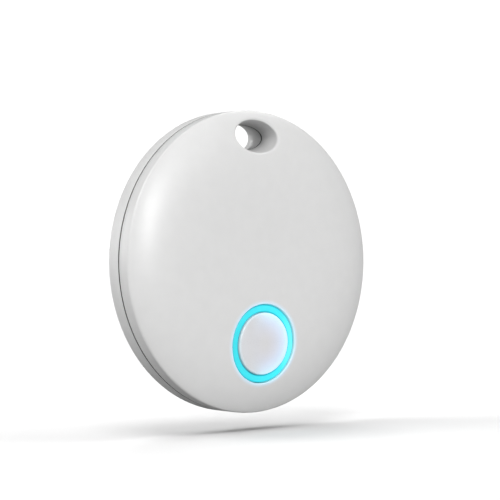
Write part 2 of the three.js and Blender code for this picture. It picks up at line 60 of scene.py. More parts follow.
# ---- Housing ----
SHELL_LOW, SHELL_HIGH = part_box("front_shell")
COVER_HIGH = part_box("rear_cover")[1]
TAG_RADIUS = (SHELL_HIGH.x - SHELL_LOW.x) / 2
TAG_MIDDLE = (SHELL_HIGH.z + SHELL_LOW.z) / 2
SEAM_FRONT = -0.075 * MM
SEAM_REAR = 0.075 * MM
FRONT_WALL = 1.92 * MM
FRONT_RISE = -SHELL_LOW.y - FRONT_WALL
FRONT_POWER = 4.43
FRONT_ROOT = 1.166
REAR_WALL = 2.22 * MM
REAR_RISE = COVER_HIGH.y - REAR_WALL
REAR_POWER = 2.4
REAR_ROOT = 1.2
REAR_FLAT_RADIUS = 10 * MM
INSIDE_RADIUS = 18.8 * MM
FACE_THICKNESS = 1.1 * MM
COVER_THICKNESS = 0.8 * MM
SNAP_Y = -0.5 * MM
SNAP_HEIGHT = 0.14 * MM
SNAP_HALF = 0.15 * MM
EDGE_ROUND = 0.16 * MM
SEAM_ROUND = 0.07 * MM
CELL_STEP = 0.45 * MM
RIM_START = 0.958
RIM_STEPS = 200

# ---- Keyring hole, measured from the middle of the disc ----
HOLE_HEIGHT = -TAG_MIDDLE
HOLE_HALF = (3.45 * MM, 1.66 * MM)
LIP_HALF = (3.5 * MM, 2.17 * MM)
LIP_ROUND = 0.32 * MM
HOLE_WALL = 0.95 * MM
REAR_LIP_HALF = (3.6 * MM, 2.1 * MM)
REAR_LIP_ROUND = 0.2 * MM
HOLE_STEPS = 112

# ---- Button and ring ----
BUTTON_LOW, BUTTON_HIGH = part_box("button_cap")
BUTTON_HEIGHT = (BUTTON_HIGH.z + BUTTON_LOW.z) / 2 - TAG_MIDDLE
BUTTON_RADIUS = 4.11 * MM
BUTTON_ROUND = 0.2 * MM
BUTTON_DISH = 0.05 * MM
OPENING_RADIUS = 5.23 * MM
OPENING_ROUND = 0.12 * MM
RING_INNER = 4.2 * MM
RING_OUTER = 5.13 * MM
RING_RECESS = 0.24 * MM
RING_STEPS = 144

# ---- Board, screws and cell ----
SCREW_PLACES = ((-13.2 * MM, 6 * MM), (13.2 * MM, 6 * MM), (-11.3 * MM, -9.2 * MM), (11.3 * MM, -9.2 * MM))
CELL_HEIGHT = -0.8 * MM
SOUNDER_HEIGHT = 3.6 * MM


def face_y(x, z):
    """The y of the domed face, at a place measured from the middle of the disc."""
    share = min(math.hypot(x, z) / TAG_RADIUS, 1.0)
    return -FRONT_WALL - FRONT_RISE * (1 - share**FRONT_POWER) ** (1 / FRONT_ROOT)


def rear_y(x, z):
    """The y of the rear surface, which is flat in the middle."""
    share = (math.hypot(x, z) - REAR_FLAT_RADIUS) / (TAG_RADIUS - REAR_FLAT_RADIUS)
    share = min(max(share, 0.0), 1.0)
    return REAR_WALL + REAR_RISE * (1 - share**REAR_POWER) ** (1 / REAR_ROOT)


# ---- Shaping ----
def oval(half, height=0.0):
    """Where an oval's outline is at an angle, in x and z."""
    return lambda angle: (half[0] * math.cos(angle), height + half[1] * math.sin(angle))


def circle(radius, height=0.0):
    return oval((radius, radius), height)


def outline(bm, steps, place, y=0.0):
    """A closed outline of edges in the plane of the disc."""
    made = bmesh.ops.create_circle(bm, segments=steps, radius=1.0)["verts"]
    for vert in made:
        x, z = place(math.atan2(vert.co.y, vert.co.x))
        vert.co = (x, y, z)
    return list({edge for vert in made for edge in vert.link_edges})


def extruded(bm, edges, place):
    """New edges grown from a closed outline, with each new vertex set by place(old position)."""
    grown = bmesh.ops.extrude_edge_only(bm, edges=edges)["geom"]
    for vert in [g for g in grown if isinstance(g, bmesh.types.BMVert)]:
        vert.co = place(vert.co.copy())
    return [g for g in grown if isinstance(g, bmesh.types.BMEdge) and g.is_boundary]


def loose_edges(bm, test):
    return [e for e in bm.edges if e.is_boundary and all(test(v.co) for v in e.verts)]


def quarter_round(steps):
    """Shares along and across a quarter round, from its start to its end."""
    turns = [math.pi / 2 * i / steps for i in range(1, steps + 1)]
    return [(math.sin(turn), 1 - math.cos(turn)) for turn in turns]


def close_up(bm):
    bmesh.ops.remove_doubles(bm, verts=bm.verts[:], dist=0.0005 * MM)
    bmesh.ops.dissolve_degenerate(bm, edges=bm.edges[:], dist=0.0002 * MM)
    bmesh.ops.recalc_face_normals(bm, faces=bm.faces[:])
    return bm


def cells_between(bm, step, reach):
    """Fills flat outlines that lie across x = 0, and cuts the fill into square cells."""
    faces = bmesh.ops.triangle_fill(bm, edges=bm.edges[:], use_beauty=True, normal=(0, -1, 0))["geom"]
    faces = [g for g in faces if isinstance(g, bmesh.types.BMFace)]

    def slice_at(place, normal, kept):
        geom = kept + list({v for f in kept for v in f.verts}) + list({e for f in kept for e in f.edges})
        done = bmesh.ops.bisect_plane(bm, geom=geom, dist=0.02 * MM, plane_co=place, plane_no=normal)
        return [g for g in done["geom"] if isinstance(g, bmesh.types.BMFace)]

    faces = slice_at(Vector(), Vector((1, 0, 0)), faces)
    halves = [[f for f in faces if f.calc_center_median().x * side > 0] for side in (-1, 1)]
    faces = []
    for half in halves:
        faces += bmesh.ops.dissolve_faces(bm, faces=half, use_verts=False)["region"]
    count = int(reach / step)
    for axis in (Vector((1, 0, 0)), Vector((0, 0, 1))):
        for i in range(-count, count + 1):
            if i != 0 or axis.z:
                faces = slice_at(axis * i * step, axis, faces)
    return faces


def turned(profile, steps=96, height=0.0):
    """A solid turned round a height on the disc from (radius, y) corners, in millimetres."""
    bm = bmesh.new()
    verts = [bm.verts.new((r * MM, y * MM, 0)) for r, y in profile]
    edges = [bm.edges.new(pair) for pair in zip(verts, verts[1:])]
    if profile[0][0] > 0 or profile[-1][0] > 0:
        edges.append(bm.edges.new((verts[-1], verts[0])))
    bmesh.ops.spin(
        bm, geom=verts + edges, cent=(0, 0, 0), axis=(0, 1, 0), angle=FULL_TURN,
        steps=steps, use_merge=True, use_duplicate=False,
    )
    return moved(close_up(bm), z=height)


def rod(radius, front, rear, steps):
    return turned([(0, front), (radius, front), (radius, rear), (0, rear)], steps)


def collar(inner, outer, front, rear, steps=40):
    return turned([(inner, front), (outer, front), (outer, rear), (inner, rear)], steps)


def disc(radius, front, rear, ease, steps=96, height=0.0):
    """A flat disc with chamfered edges."""
    profile = [(0, front), (radius - ease, front), (radius, front + ease), (radius, rear - ease)]
    return turned(profile + [(radius - ease, rear), (0, rear)], steps, height)


def washer(inner, outer, front, rear, ease, height):
    """A flat ring with chamfered edges."""
    profile = [(inner, front + ease), (inner + ease, front), (outer - ease, front), (outer, front + ease)]
    profile += [(outer, rear - ease), (outer - ease, rear), (inner + ease, rear), (inner, rear - ease)]
    return turned(profile, 96, height)


def swept(profile, steps, height, closed=True):
    """A ring from (radius, depth) corners round a height. A depth may be a surface's function."""
    bm = bmesh.new()

    def corner(radius, depth):
        def place(co):
            angle = math.atan2(co.z - height, co.x)
            x = radius * math.cos(angle)
            z = height + radius * math.sin(angle)
            return Vector((x, depth(x, z) if callable(depth) else depth, z))
        return place

    first = corner(*profile[0])
    edges = outline(bm, steps, circle(profile[0][0], height))
    for vert in bm.verts:
        vert.co = first(vert.co.copy())
    for radius, depth in profile[1:] + (profile[:1] if closed else []):
        edges = extruded(bm, edges, corner(radius, depth))
    if not closed:
        bmesh.ops.holes_fill(bm, edges=[e for e in bm.edges if e.is_boundary], sides=0)
    return close_up(bm)


def prism(steps, place, front, rear):
    """A solid column with an outline, from front to rear."""
    bm = bmesh.new()
    edges = outline(bm, steps, place, front)
    extruded(bm, edges, lambda co: Vector((co.x, rear, co.z)))
    bmesh.ops.holes_fill(bm, edges=[e for e in bm.edges if e.is_boundary], sides=0)
    return close_up(bm)


def block(size, centre):
    """A block, with its size and centre in millimetres."""
    bm = bmesh.new()
    bmesh.ops.create_cube(bm, size=1.0)
    bmesh.ops.scale(bm, vec=Vector(size) * MM, verts=bm.verts[:])
    bmesh.ops.translate(bm, vec=Vector(centre) * MM, verts=bm.verts[:])
    return bm


def moved(bm, x=0.0, y=0.0, z=0.0):
    bmesh.ops.translate(bm, vec=(x, y, z), verts=bm.verts[:])
    return bm


def spun(bm, angle):
    bmesh.ops.rotate(bm, cent=(0, 0, 0), matrix=Matrix.Rotation(angle, 3, "Y"), verts=bm.verts[:])
    return bm


def eased(bm, width, segments=2, limit=0.5):
    """Rounds every edge whose faces meet at more than the limit angle."""
    sharp = [e for e in bm.edges if e.is_manifold and e.calc_face_angle(0) > limit]
    bmesh.ops.bevel(
        bm, geom=sharp, offset=width * MM, affect="EDGES", segments=segments, profile=0.5,
        material=-1, clamp_overlap=True,
    )
    return bm


def joined(*parts):
    whole = bmesh.new()
    for part in parts:
        mesh = bpy.data.meshes.new("joining")
        part.to_mesh(mesh)
        part.free()
        whole.from_mesh(mesh)
        bpy.data.meshes.remove(mesh)
    return whole


def combined(bm, tool, operation):
    """One closed solid cut by or joined to another."""
    objects = []
    for shape in (bm, tool):
        mesh = bpy.data.meshes.new("combining")
        shape.to_mesh(mesh)
        shape.free()
        obj = bpy.data.objects.new("combining", mesh)
        bpy.context.scene.collection.objects.link(obj)
        objects.append(obj)
    modifier = objects[0].modifiers.new("combining", "BOOLEAN")
    modifier.operation = operation
    modifier.solver = "EXACT"
    modifier.object = objects[1]
    graph = bpy.context.evaluated_depsgraph_get()
    result = bmesh.new()
    result.from_object(objects[0], graph)
    for obj in objects:
        mesh = obj.data
        bpy.data.objects.remove(obj)
        bpy.data.meshes.remove(mesh)
    bmesh.ops.remove_doubles(result, verts=result.verts[:], dist=0.0002 * MM)
    return result


def cut(bm, tool):
    return combined(bm, tool, "DIFFERENCE")


def added(bm, tool):
    return combined(bm, tool, "UNION")


def piece(name, bm, look, nodes=(), body="housing", slot=None):
    """Sets a finished shape in the scene as a piece that rides on a body, in one of the finishes."""
    material, usual_slot = FINISHES[look]
    moved(bm, z=TAG_MIDDLE)
    mesh = bpy.data.meshes.new(name)
    bm.to_mesh(mesh)
    bm.free()
    mesh.polygons.foreach_set("use_smooth", [True] * len(mesh.polygons))
    mesh.set_sharp_from_angle(angle=SHARP_ANGLE)
    mesh.materials.append(material)
    obj = bpy.data.objects.new(name, mesh)
    bpy.context.scene.collection.objects.link(obj)
    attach(obj, body)
    slot or usual_slot
    if nodes:
        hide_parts(*nodes)
    return obj


# ---- Materials ----
class Recipe:
    """A material's nodes, joined by name."""

    def __init__(self, name):
        self.material = bpy.data.materials.new(name)
        self.material.use_nodes = True
        self.nodes = self.material.node_tree.nodes
        self.links = self.material.node_tree.links
        self.shader = self.nodes["Principled BSDF"]
        self.place = self.nodes.new("ShaderNodeTexCoord").outputs["Object"]

    def link(self, source, target):
        self.links.new(source, target)

    def stretched(self, scale, centre=(0, 0, 0)):
        node = self.nodes.new("ShaderNodeMapping")
        node.inputs["Scale"].default_value = scale
        node.inputs["Location"].default_value = [-c * s for c, s in zip(centre, scale)]
        self.link(self.place, node.inputs["Vector"])
        return node.outputs["Vector"]

    def noise(self, scale, detail=3.0, roughness=0.5, place=None):
        node = self.nodes.new("ShaderNodeTexNoise")
        node.inputs["Scale"].default_value = scale
        node.inputs["Detail"].default_value = detail
        node.inputs["Roughness"].default_value = roughness
        self.link(place or self.place, node.inputs["Vector"])
        return node.outputs["Fac"]

    def cells(self, scale, feature="F1", place=None):
        node = self.nodes.new("ShaderNodeTexVoronoi")
        node.feature = feature
        node.inputs["Scale"].default_value = scale
        self.link(place or self.place, node.inputs["Vector"])
        return node.outputs["Distance"]

    def range(self, value, low, high, new_low, new_high, smooth=False):
        node = self.nodes.new("ShaderNodeMapRange")
        node.interpolation_type = "SMOOTHSTEP" if smooth else "LINEAR"
        names = ("From Min", "From Max", "To Min", "To Max")
        for socket, number in zip(names, (low, high, new_low, new_high)):
            node.inputs[socket].default_value = number
        self.link(value, node.inputs["Value"])
        return node.outputs["Result"]

    def mix(self, share, first, second):
        node = self.nodes.new("ShaderNodeMix")
        node.data_type = "RGBA"
        self.link(share, node.inputs[0])
        for socket, colour in ((node.inputs[6], first), (node.inputs[7], second)):
            if isinstance(colour, tuple):
                socket.default_value = (*colour, 1.0)
            else:
                self.link(colour, socket)
        return node.outputs[2]

    def math(self, operation, first, second=None):
        node = self.nodes.new("ShaderNodeMath")
        node.operation = operation
        for socket, value in zip(node.inputs, (first, second)):
            if value is None:
                continue
            if isinstance(value, (int, float)):
                socket.default_value = value
            else:
                self.link(value, socket)
        return node.outputs["Value"]

    def times(self, first, second):
        return self.math("MULTIPLY", first, second)

    def plus(self, first, second):
        return self.math("ADD", first, second)

    def feed(self, source, name):
        self.link(source, self.shader.inputs[name])

    def bump(self, height, distance, strength=1.0):
        node = self.nodes.new("ShaderNodeBump")
        node.inputs["Strength"].default_value = strength
        node.inputs["Distance"].default_value = distance
        self.link(height, node.inputs["Height"])
        self.link(node.outputs["Normal"], self.shader.inputs["Normal"])

    def worn_edges(self):
        """A share that is 1 on outer edges and 0 elsewhere."""
        point = self.nodes.new("ShaderNodeNewGeometry").outputs["Pointiness"]
        return self.range(point, 0.53, 0.6, 0.0, 1.0)

    def axis_distance(self, height):
        """Distance from the y axis through a height on the disc, with x and y beside it."""
        split = self.nodes.new("ShaderNodeSeparateXYZ")
        self.link(self.place, split.inputs["Vector"])
        up = self.math("SUBTRACT", split.outputs["Z"], height + TAG_MIDDLE)
        squares = self.math("ADD", self.math("MULTIPLY", split.outputs["X"], split.outputs["X"]),
                            self.math("MULTIPLY", up, up))
        return self.math("SQRT", squares), split.outputs["X"], split.outputs["Y"]


def finish(name, low, high, rough, grain_scale, grain=0.002, metal=0.0,
           wear=None, mottle=600.0, spread=0.05):
    """A surface with soft mottling, fine grain, and edges rubbed to another colour."""
    r = Recipe(name)
    colour = r.mix(r.range(r.noise(mottle, detail=4.0), 0.35, 0.65, 0.0, 1.0), low, high)
    if wear:
        colour = r.mix(r.worn_edges(), colour, wear)
    r.feed(colour, "Base Color")
    fine = r.noise(grain_scale, detail=2.0)
    r.feed(r.range(fine, 0.25, 0.75, rough - spread, rough + spread), "Roughness")
    r.shader.inputs["Metallic"].default_value = metal
    r.bump(fine, grain * MM)
    return r


def moulding(name, low, high, rough, grain_scale, grain):
    """White moulding, rougher in the keyring hole, with painted shade that darkens the hole more the deeper it
    goes and painted shade in the seam gap.
    """
    r = finish(name, low, high, rough, grain_scale, grain)
    unshaded = r.shader.inputs["Base Color"].links[0].from_socket
    split = r.nodes.new("ShaderNodeSeparateXYZ")
    r.link(r.place, split.inputs["Vector"])
    across = r.math("DIVIDE", split.outputs["X"], LIP_HALF[0])
    up = r.math("DIVIDE", split.outputs["Z"], LIP_HALF[1])
    reach = r.plus(r.times(across, across), r.times(up, up))
    in_hole = r.range(reach, 1.2, 1.4, 1.0, 0.0)
    depth = r.math("ABSOLUTE", split.outputs["Y"])
    # Painted shade: the keyring hole's wall is darkened more the deeper it goes, varied a little by noise.
    deep = r.math("POWER", r.range(depth, 3.4 * MM, 0.3 * MM, 0.0, 1.0), 1.5)
    shade_variation = r.range(r.noise(1500.0, place=r.stretched((1.0, 4.0, 4.0))), 0.3, 0.7, 0.85, 1.0)
    hole_shade = r.times(r.times(in_hole, deep), shade_variation)
    colour = r.mix(hole_shade, unshaded, (0.40, 0.40, 0.40))
    smooth_skin = r.shader.inputs["Roughness"].links[0].from_socket
    r.feed(r.math("MAXIMUM", smooth_skin, r.times(in_hole, 0.8)), "Roughness")
    distance, _, _ = r.axis_distance(0.0)
    outside = r.range(distance, TAG_RADIUS - 0.4 * MM, TAG_RADIUS - 0.3 * MM, 0.0, 1.0)
    # Painted shade: the faces inside the seam gap, at the rim and round the keyring hole, are painted near black.
    along_seam = r.range(depth, 0.07 * MM, 0.15 * MM, 1.0, 0.0, smooth=True)
    seam_shade = r.times(along_seam, r.math("MAXIMUM", outside, in_hole))
    r.feed(r.mix(seam_shade, colour, (0.045, 0.045, 0.046)), "Base Color")
    return r


def shell_plastic():
    """The face's moulding, with the ring's light painted on as a glow round the opening and on the opening's
    wall.
    """
    r = moulding("satin_white_shell", (0.748, 0.748, 0.745), (0.762, 0.762, 0.759), 0.36, 9000.0, 0.0008)
    distance, _, depth = r.axis_distance(BUTTON_HEIGHT)
    start = OPENING_RADIUS + 0.6 * OPENING_ROUND
    # Painted light: a glow from the ring on the face round the opening, and on the opening's wall.
    near = r.range(distance, start, start + 0.7 * MM, 1.0, 0.0)
    beyond = r.range(distance, OPENING_RADIUS + 0.1 * OPENING_ROUND, start, 0.0, 1.0)
    outside = r.range(depth, -2.9 * MM, -3.1 * MM, 0.0, 1.0)
    halo = r.times(r.math("POWER", near, 2.2), beyond)
    wall = r.range(distance, OPENING_RADIUS + 0.02 * MM, OPENING_RADIUS + 0.06 * MM, 1.0, 0.0)
    lit = r.plus(r.times(halo, 0.36), r.times(wall, 0.22))
    r.feed(r.times(lit, outside), "Emission Strength")
    r.feed(r.mix(wall, (0.06, 0.58, 1.0), (0.04, 0.70, 0.85)), "Emission Color")
    return r.material


def cover_plastic():
    """The same moulding on the rear, with a slightly coarser texture."""
    r = moulding("satin_white_cover", (0.735, 0.735, 0.732), (0.755, 0.755, 0.752), 0.42, 12000.0, 0.0015)
    return r.material


def button_plastic():
    """White plastic with the ring's light painted on as a glow in from its edge, more on one side."""
    r = finish("white_button_painted_glow", (0.745, 0.745, 0.76), (0.765, 0.765, 0.78), 0.3, 9000.0, 0.0006)
    distance, side, depth = r.axis_distance(BUTTON_HEIGHT)
    share = r.range(distance, 0.0, BUTTON_RADIUS, 0.0, 1.0)
    tilt = r.range(side, -0.6 * BUTTON_RADIUS, 0.3 * BUTTON_RADIUS, 0.07, 1.0, smooth=True)
    # Painted light: the ring's glow on the button, strongest at its edge and on the +x side.
    glow = r.times(r.times(r.math("POWER", share, 2.0), tilt), 0.5)
    rim = r.range(distance, 0.90 * BUTTON_RADIUS, 0.965 * BUTTON_RADIUS, 0.0, 0.07, smooth=True)
    top = r.range(distance, 0.98 * BUTTON_RADIUS, 0.998 * BUTTON_RADIUS, 1.0, 0.3)
    lit = r.times(r.plus(glow, rim), top)
    r.feed(r.times(lit, r.range(depth, -3.2 * MM, -3.4 * MM, 0.0, 1.0)), "Emission Strength")
    r.feed(r.mix(share, (0.13, 0.08, 1.0), (0.16, 0.72, 1.0)), "Emission Color")
    return r.material


def glowing_guide():
    """Frosted light guide, brightest along its middle and deeper blue at its edges."""
    r = Recipe("glowing_guide")
    frost = r.noise(2500.0, detail=3.0)
    r.feed(r.mix(frost, (0.02, 0.16, 0.19), (0.03, 0.20, 0.24)), "Base Color")
    r.feed(r.range(frost, 0.2, 0.8, 0.26, 0.38), "Roughness")
    distance, side, depth = r.axis_distance(BUTTON_HEIGHT)
    off = r.math("ABSOLUTE", r.math("SUBTRACT", distance, (RING_INNER + RING_OUTER) / 2))
    edge = r.range(off, 0.26 * MM, 0.5 * MM, 0.0, 1.0, smooth=True)
    tilt = r.range(side, -RING_OUTER, RING_OUTER, 0.82, 1.12)
    soft = r.range(r.noise(420.0, detail=1.0), 0.3, 0.7, 0.96, 1.04)
    strength = r.times(r.times(r.range(edge, 0.0, 1.0, 0.86, 0.5), soft), tilt)
    strength = r.times(strength, r.range(depth, -2.9 * MM, -3.3 * MM, 0.35, 1.0))
    r.feed(strength, "Emission Strength")
    white = r.range(side, 0.5 * RING_OUTER, RING_OUTER, 0.0, 0.45, smooth=True)
    middle = r.mix(white, (0.04, 0.86, 0.96), (0.30, 1.0, 1.0))
    r.feed(r.mix(edge, middle, (0.0, 0.60, 0.76)), "Emission Color")
    r.bump(frost, 0.002 * MM)
    return r.material


# ---- Front shell ----
def wall_corners(wall_y, edge_y, seam_y):
    """(radius, y) corners from the end of a domed face, round its edge and down to the seam."""
    toward = 1 if seam_y > wall_y else -1
    start = (TAG_RADIUS - EDGE_ROUND, edge_y(TAG_RADIUS - EDGE_ROUND, 0))
    corner = (TAG_RADIUS, wall_y)
    end = (TAG_RADIUS, wall_y + toward * EDGE_ROUND)
    corners = []
    for i in range(1, 7):
        t = i / 6
        shares = ((1 - t) ** 2, 2 * t * (1 - t), t**2)
        corners.append([sum(s * v for s, v in zip(shares, trio)) for trio in zip(start, corner, end)])
    seam_start = seam_y - toward * SEAM_ROUND
    corners += [(TAG_RADIUS, (corners[-1][1] + seam_start) / 2), (TAG_RADIUS, seam_start)]
    for along, across in quarter_round(3):
        corners.append((TAG_RADIUS - SEAM_ROUND * across, seam_start + toward * SEAM_ROUND * along))
    return corners


def grow_wall(bm, edges, surface, corners):
    """Grows a face's outer edge out over the last of its dome, then round and down the wall."""
    steps = 13
    inner = TAG_RADIUS * RIM_START
    outer = TAG_RADIUS - EDGE_ROUND
    rings = [(inner + (outer - inner) * (1 - (1 - i / steps) ** 1.7), None) for i in range(1, steps + 1)]
    for radius, y in rings + corners:

        def out(co, radius=radius, y=y):
            scale = radius / math.hypot(co.x, co.z)
            x, z = co.x * scale, co.z * scale
            return Vector((x, surface(x, z) if y is None else y, z))

        edges = extruded(bm, edges, out)
    return edges


def wider(half, by):
    return [h + by for h in half]


def grow_hole(bm, edges, surface, lip, lip_round, seam_y):
    """Grows the keyring hole in round its lip, then down a flare that straightens at the seam."""
    toward = 1 if seam_y > surface(0, HOLE_HEIGHT) else -1
    rings = []
    for along, across in quarter_round(5):
        rings.append((wider(lip, lip_round * (1 - along)), lip_round * across, 0.0))
    for i in range(1, 11):
        share = i / 10
        narrow = 1 - (1 - share) ** 1.6
        rings.append(([a + (b - a) * narrow for a, b in zip(lip, HOLE_HALF)], lip_round, share))
    half = wider(lip, lip_round)
    seam_start = seam_y - toward * SEAM_ROUND
    for narrower, depth, share in rings:

        def inward(co, half=half, narrower=narrower, depth=depth, share=share):
            angle = math.atan2((co.z - HOLE_HEIGHT) / half[1], co.x / half[0])
            x, z = oval(narrower, HOLE_HEIGHT)(angle)
            start = surface(x, z) + toward * depth
            return Vector((x, start + (seam_start - start) * share, z))

        edges = extruded(bm, edges, inward)
        half = narrower
    for along, across in quarter_round(3):

        def ease(co, along=along, across=across):
            angle = math.atan2((co.z - HOLE_HEIGHT) / HOLE_HALF[1], co.x / HOLE_HALF[0])
            x, z = oval(wider(HOLE_HALF, SEAM_ROUND * across), HOLE_HEIGHT)(angle)
            return Vector((x, seam_start + toward * SEAM_ROUND * along, z))

        edges = extruded(bm, edges, ease)
    return edges


def close_seam(bm, edges):
    bmesh.ops.triangle_fill(bm, edges=edges, use_beauty=True, normal=(0, 1, 0))
    return close_up(bm)


def column(front, rear, wall=HOLE_WALL):
    """The solid wall round the keyring hole."""
    return prism(64, oval(wider(HOLE_HALF, wall), HOLE_HEIGHT), front, rear)


def domed(bm, surface, wall_y, lip, lip_round, seam_y, opening=None):
    """Fills outlines with a domed surface, and grows its rim and keyring hole down to the seam."""
    outline(bm, RIM_STEPS, circle(TAG_RADIUS * RIM_START))
    outline(bm, HOLE_STEPS, oval(wider(lip, lip_round), HOLE_HEIGHT))
    if opening:
        outline(bm, RING_STEPS, circle(opening, BUTTON_HEIGHT))
    cells_between(bm, CELL_STEP, TAG_RADIUS)
    for vert in bm.verts:
        vert.co.y = surface(vert.co.x, vert.co.z)
    near_rim = 0.95 * TAG_RADIUS
    rim = loose_edges(bm, lambda co: math.hypot(co.x, co.z) > near_rim)
    hole = loose_edges(bm, lambda co: co.z > 0.65 * TAG_RADIUS and math.hypot(co.x, co.z) < near_rim)
    rim = grow_wall(bm, rim, surface, wall_corners(wall_y, surface, seam_y))
    return rim + grow_hole(bm, hole, surface, lip, lip_round, seam_y)


def front_outside():
    """The front shell's outside as one solid, down to the seam."""
    bm = bmesh.new()
    opening = OPENING_RADIUS + OPENING_ROUND
    edges = domed(bm, face_y, -FRONT_WALL, LIP_HALF, LIP_ROUND, SEAM_FRONT, opening)
    round_button = loose_edges(bm, lambda co: math.hypot(co.x, co.z - BUTTON_HEIGHT) < 1.1 * OPENING_RADIUS)
    depths = [(OPENING_RADIUS + OPENING_ROUND * (1 - a), OPENING_ROUND * b) for a, b in quarter_round(4)]
    for radius, depth in depths + [(OPENING_RADIUS, None)]:

        def inward(co, radius=radius, depth=depth):
            angle = math.atan2(co.z - BUTTON_HEIGHT, co.x)
            x, z = circle(radius, BUTTON_HEIGHT)(angle)
            return Vector((x, SEAM_FRONT if depth is None else face_y(x, z) + depth, z))

        round_button = extruded(bm, round_button, inward)
    return close_seam(bm, edges + round_button)


def front_hollow():
    """The space inside the front shell, with its posts, button boss and sounder seat left standing."""
    inside = [r * 0.94 for r in (0, 4, 8, 11, 13, 15, 16.5, 17.5, 18.5, 19.2, 19.7, 20)]
    dome = [(r, (face_y(r * MM, 0) + FACE_THICKNESS) / MM) for r in inside]
    snap = SNAP_HALF + 0.02 * MM
    groove = ((0, -snap), (SNAP_HEIGHT, 0), (0, snap))
    groove = [((INSIDE_RADIUS + r) / MM, (SNAP_Y + y) / MM) for r, y in groove]
    space = turned(dome + groove + [(INSIDE_RADIUS / MM, 1.0), (0, 1.0)], 120)
    space = cut(space, column(-6 * MM, 2 * MM))
    boss = moved(rod(6.6, -6, -2.5, 96), z=BUTTON_HEIGHT)
    space = cut(space, boss)
    seat = collar(5.5, 6.5, -6, -3.15, 96)
    space = cut(space, moved(seat, z=SOUNDER_HEIGHT))
    for x, z in SCREW_PLACES:
        post = [(0.56, -3), (0.56, -1.75), (1.5, -1.75), (1.5, -6), (0, -6), (0, -3)]
        space = cut(space, moved(turned(post, 40), x=x, z=z))
    return space


def build_front_shell():
    shell = cut(front_outside(), front_hollow())
    piece("front_shell_moulding", shell, "shell", ["front_shell"])


# ---- Rear cover ----
def rear_outside():
    bm = bmesh.new()
    return close_seam(bm, domed(bm, rear_y, REAR_WALL, REAR_LIP_HALF, REAR_LIP_ROUND, SEAM_REAR))


def build_rear_cover():
    """A dish with its own half of the hole's wall and a snap skirt that stops short of it."""
    inside = (0, 9.5, 10.5, 12, 13.5, 15, 16, 17, 17.7)
    dome = [(r, (rear_y(r * MM, 0) - COVER_THICKNESS) / MM) for r in inside]
    space = turned([(0, -1), (17.7, -1)] + dome[::-1], 120)
    space = cut(space, column(-2 * MM, 6 * MM))
    cover = cut(rear_outside(), space)
    skirt = [(17.73, 0.5), (17.73, -0.84), (17.79, -0.9), (18.54, -0.9), (18.6, -0.84), (18.6, -0.65)]
    skirt = turned(skirt + [(18.74, -0.5), (18.6, -0.35), (18.6, 0.5)], 160)
    skirt = cut(skirt, block((10.4, 4, 8), (0, 0, 17.4)))
    cover = added(cover, skirt)
    piece("rear_cover_moulding", cover, "cover", ["rear_cover"], body="cover")


# ---- Button and light ring ----
def below_face(depth):
    return lambda x, z: face_y(x, z) + depth


def build_button():
    corners = [(0.9, -3), (0.9, -3.25), (3.3, -3.25), (3.3, -2.45), (4.6, -2.45)]
    corners += [(4.65, -2.5), (4.65, -2.85), (4.6, -2.9), (4.05, -2.9)]
    profile = [(r * MM, y * MM) for r, y in corners]
    profile.append((BUTTON_RADIUS, below_face(BUTTON_ROUND)))
    for along, across in quarter_round(5):
        profile.append((BUTTON_RADIUS - BUTTON_ROUND * across, below_face(BUTTON_ROUND * (1 - along))))
    flat = BUTTON_RADIUS - BUTTON_ROUND
    for share in (0.94, 0.86, 0.75, 0.62, 0.48, 0.34, 0.2, 0.08):
        profile.append((flat * share, below_face(BUTTON_DISH * (1 - share**2))))
    cap = swept(profile, RING_STEPS, BUTTON_HEIGHT, closed=False)
    piece("button_top", cap, "button", ["button_cap"], body="button")


def build_light_ring():
    corners = ((4.75, -2.1), (6.15, -2.1), (6.15, -2.48), (5.2, -2.48))
    profile = [(r * MM, y * MM) for r, y in corners]
    soft = 0.14 * MM
    profile.append((RING_OUTER, below_face(RING_RECESS + soft)))
    for along, across in quarter_round(4):
        profile.append((RING_OUTER - soft * across, below_face(RING_RECESS + soft * (1 - along))))
    middle = (RING_INNER + RING_OUTER) / 2
    for radius in (middle + 0.2 * MM, middle, middle - 0.2 * MM):
        profile.append((radius, below_face(RING_RECESS - 0.02 * MM)))
    for along, across in quarter_round(4)[::-1]:
        profile.append((RING_INNER + soft * across, below_face(RING_RECESS + soft * (1 - along))))
    profile.append((RING_INNER, below_face(RING_RECESS + soft)))
    profile += [(4.15 * MM, -2.95 * MM), (4.75 * MM, -2.95 * MM)]
    ring = swept(profile, RING_STEPS, BUTTON_HEIGHT)
    piece("light_guide_ring", ring, "guide", ["light_ring"])


# ---- Inner finishes ----
def soft_silicone():
    """Milky silicone with dust on it."""
    r = finish("milky_silicone", (0.74, 0.74, 0.70), (0.82, 0.82, 0.79), 0.48, 5200.0, 0.004, mottle=900.0)
    r.shader.inputs["Subsurface Weight"].default_value = 0.2
    r.shader.inputs["Subsurface Scale"].default_value = 0.0008
    return r.material


def open_foam():
    """Black foam, pitted with open cells."""
    r = Recipe("open_cell_foam")
    pits = r.cells(4200.0)
    r.feed(r.mix(r.range(pits, 0.1, 0.6, 0.0, 1.0), (0.012, 0.012, 0.013), (0.07, 0.07, 0.074)),
           "Base Color")
    r.feed(r.range(r.noise(900.0), 0.3, 0.7, 0.85, 0.98), "Roughness")
    r.bump(pits, 0.05 * MM)
    return r.material


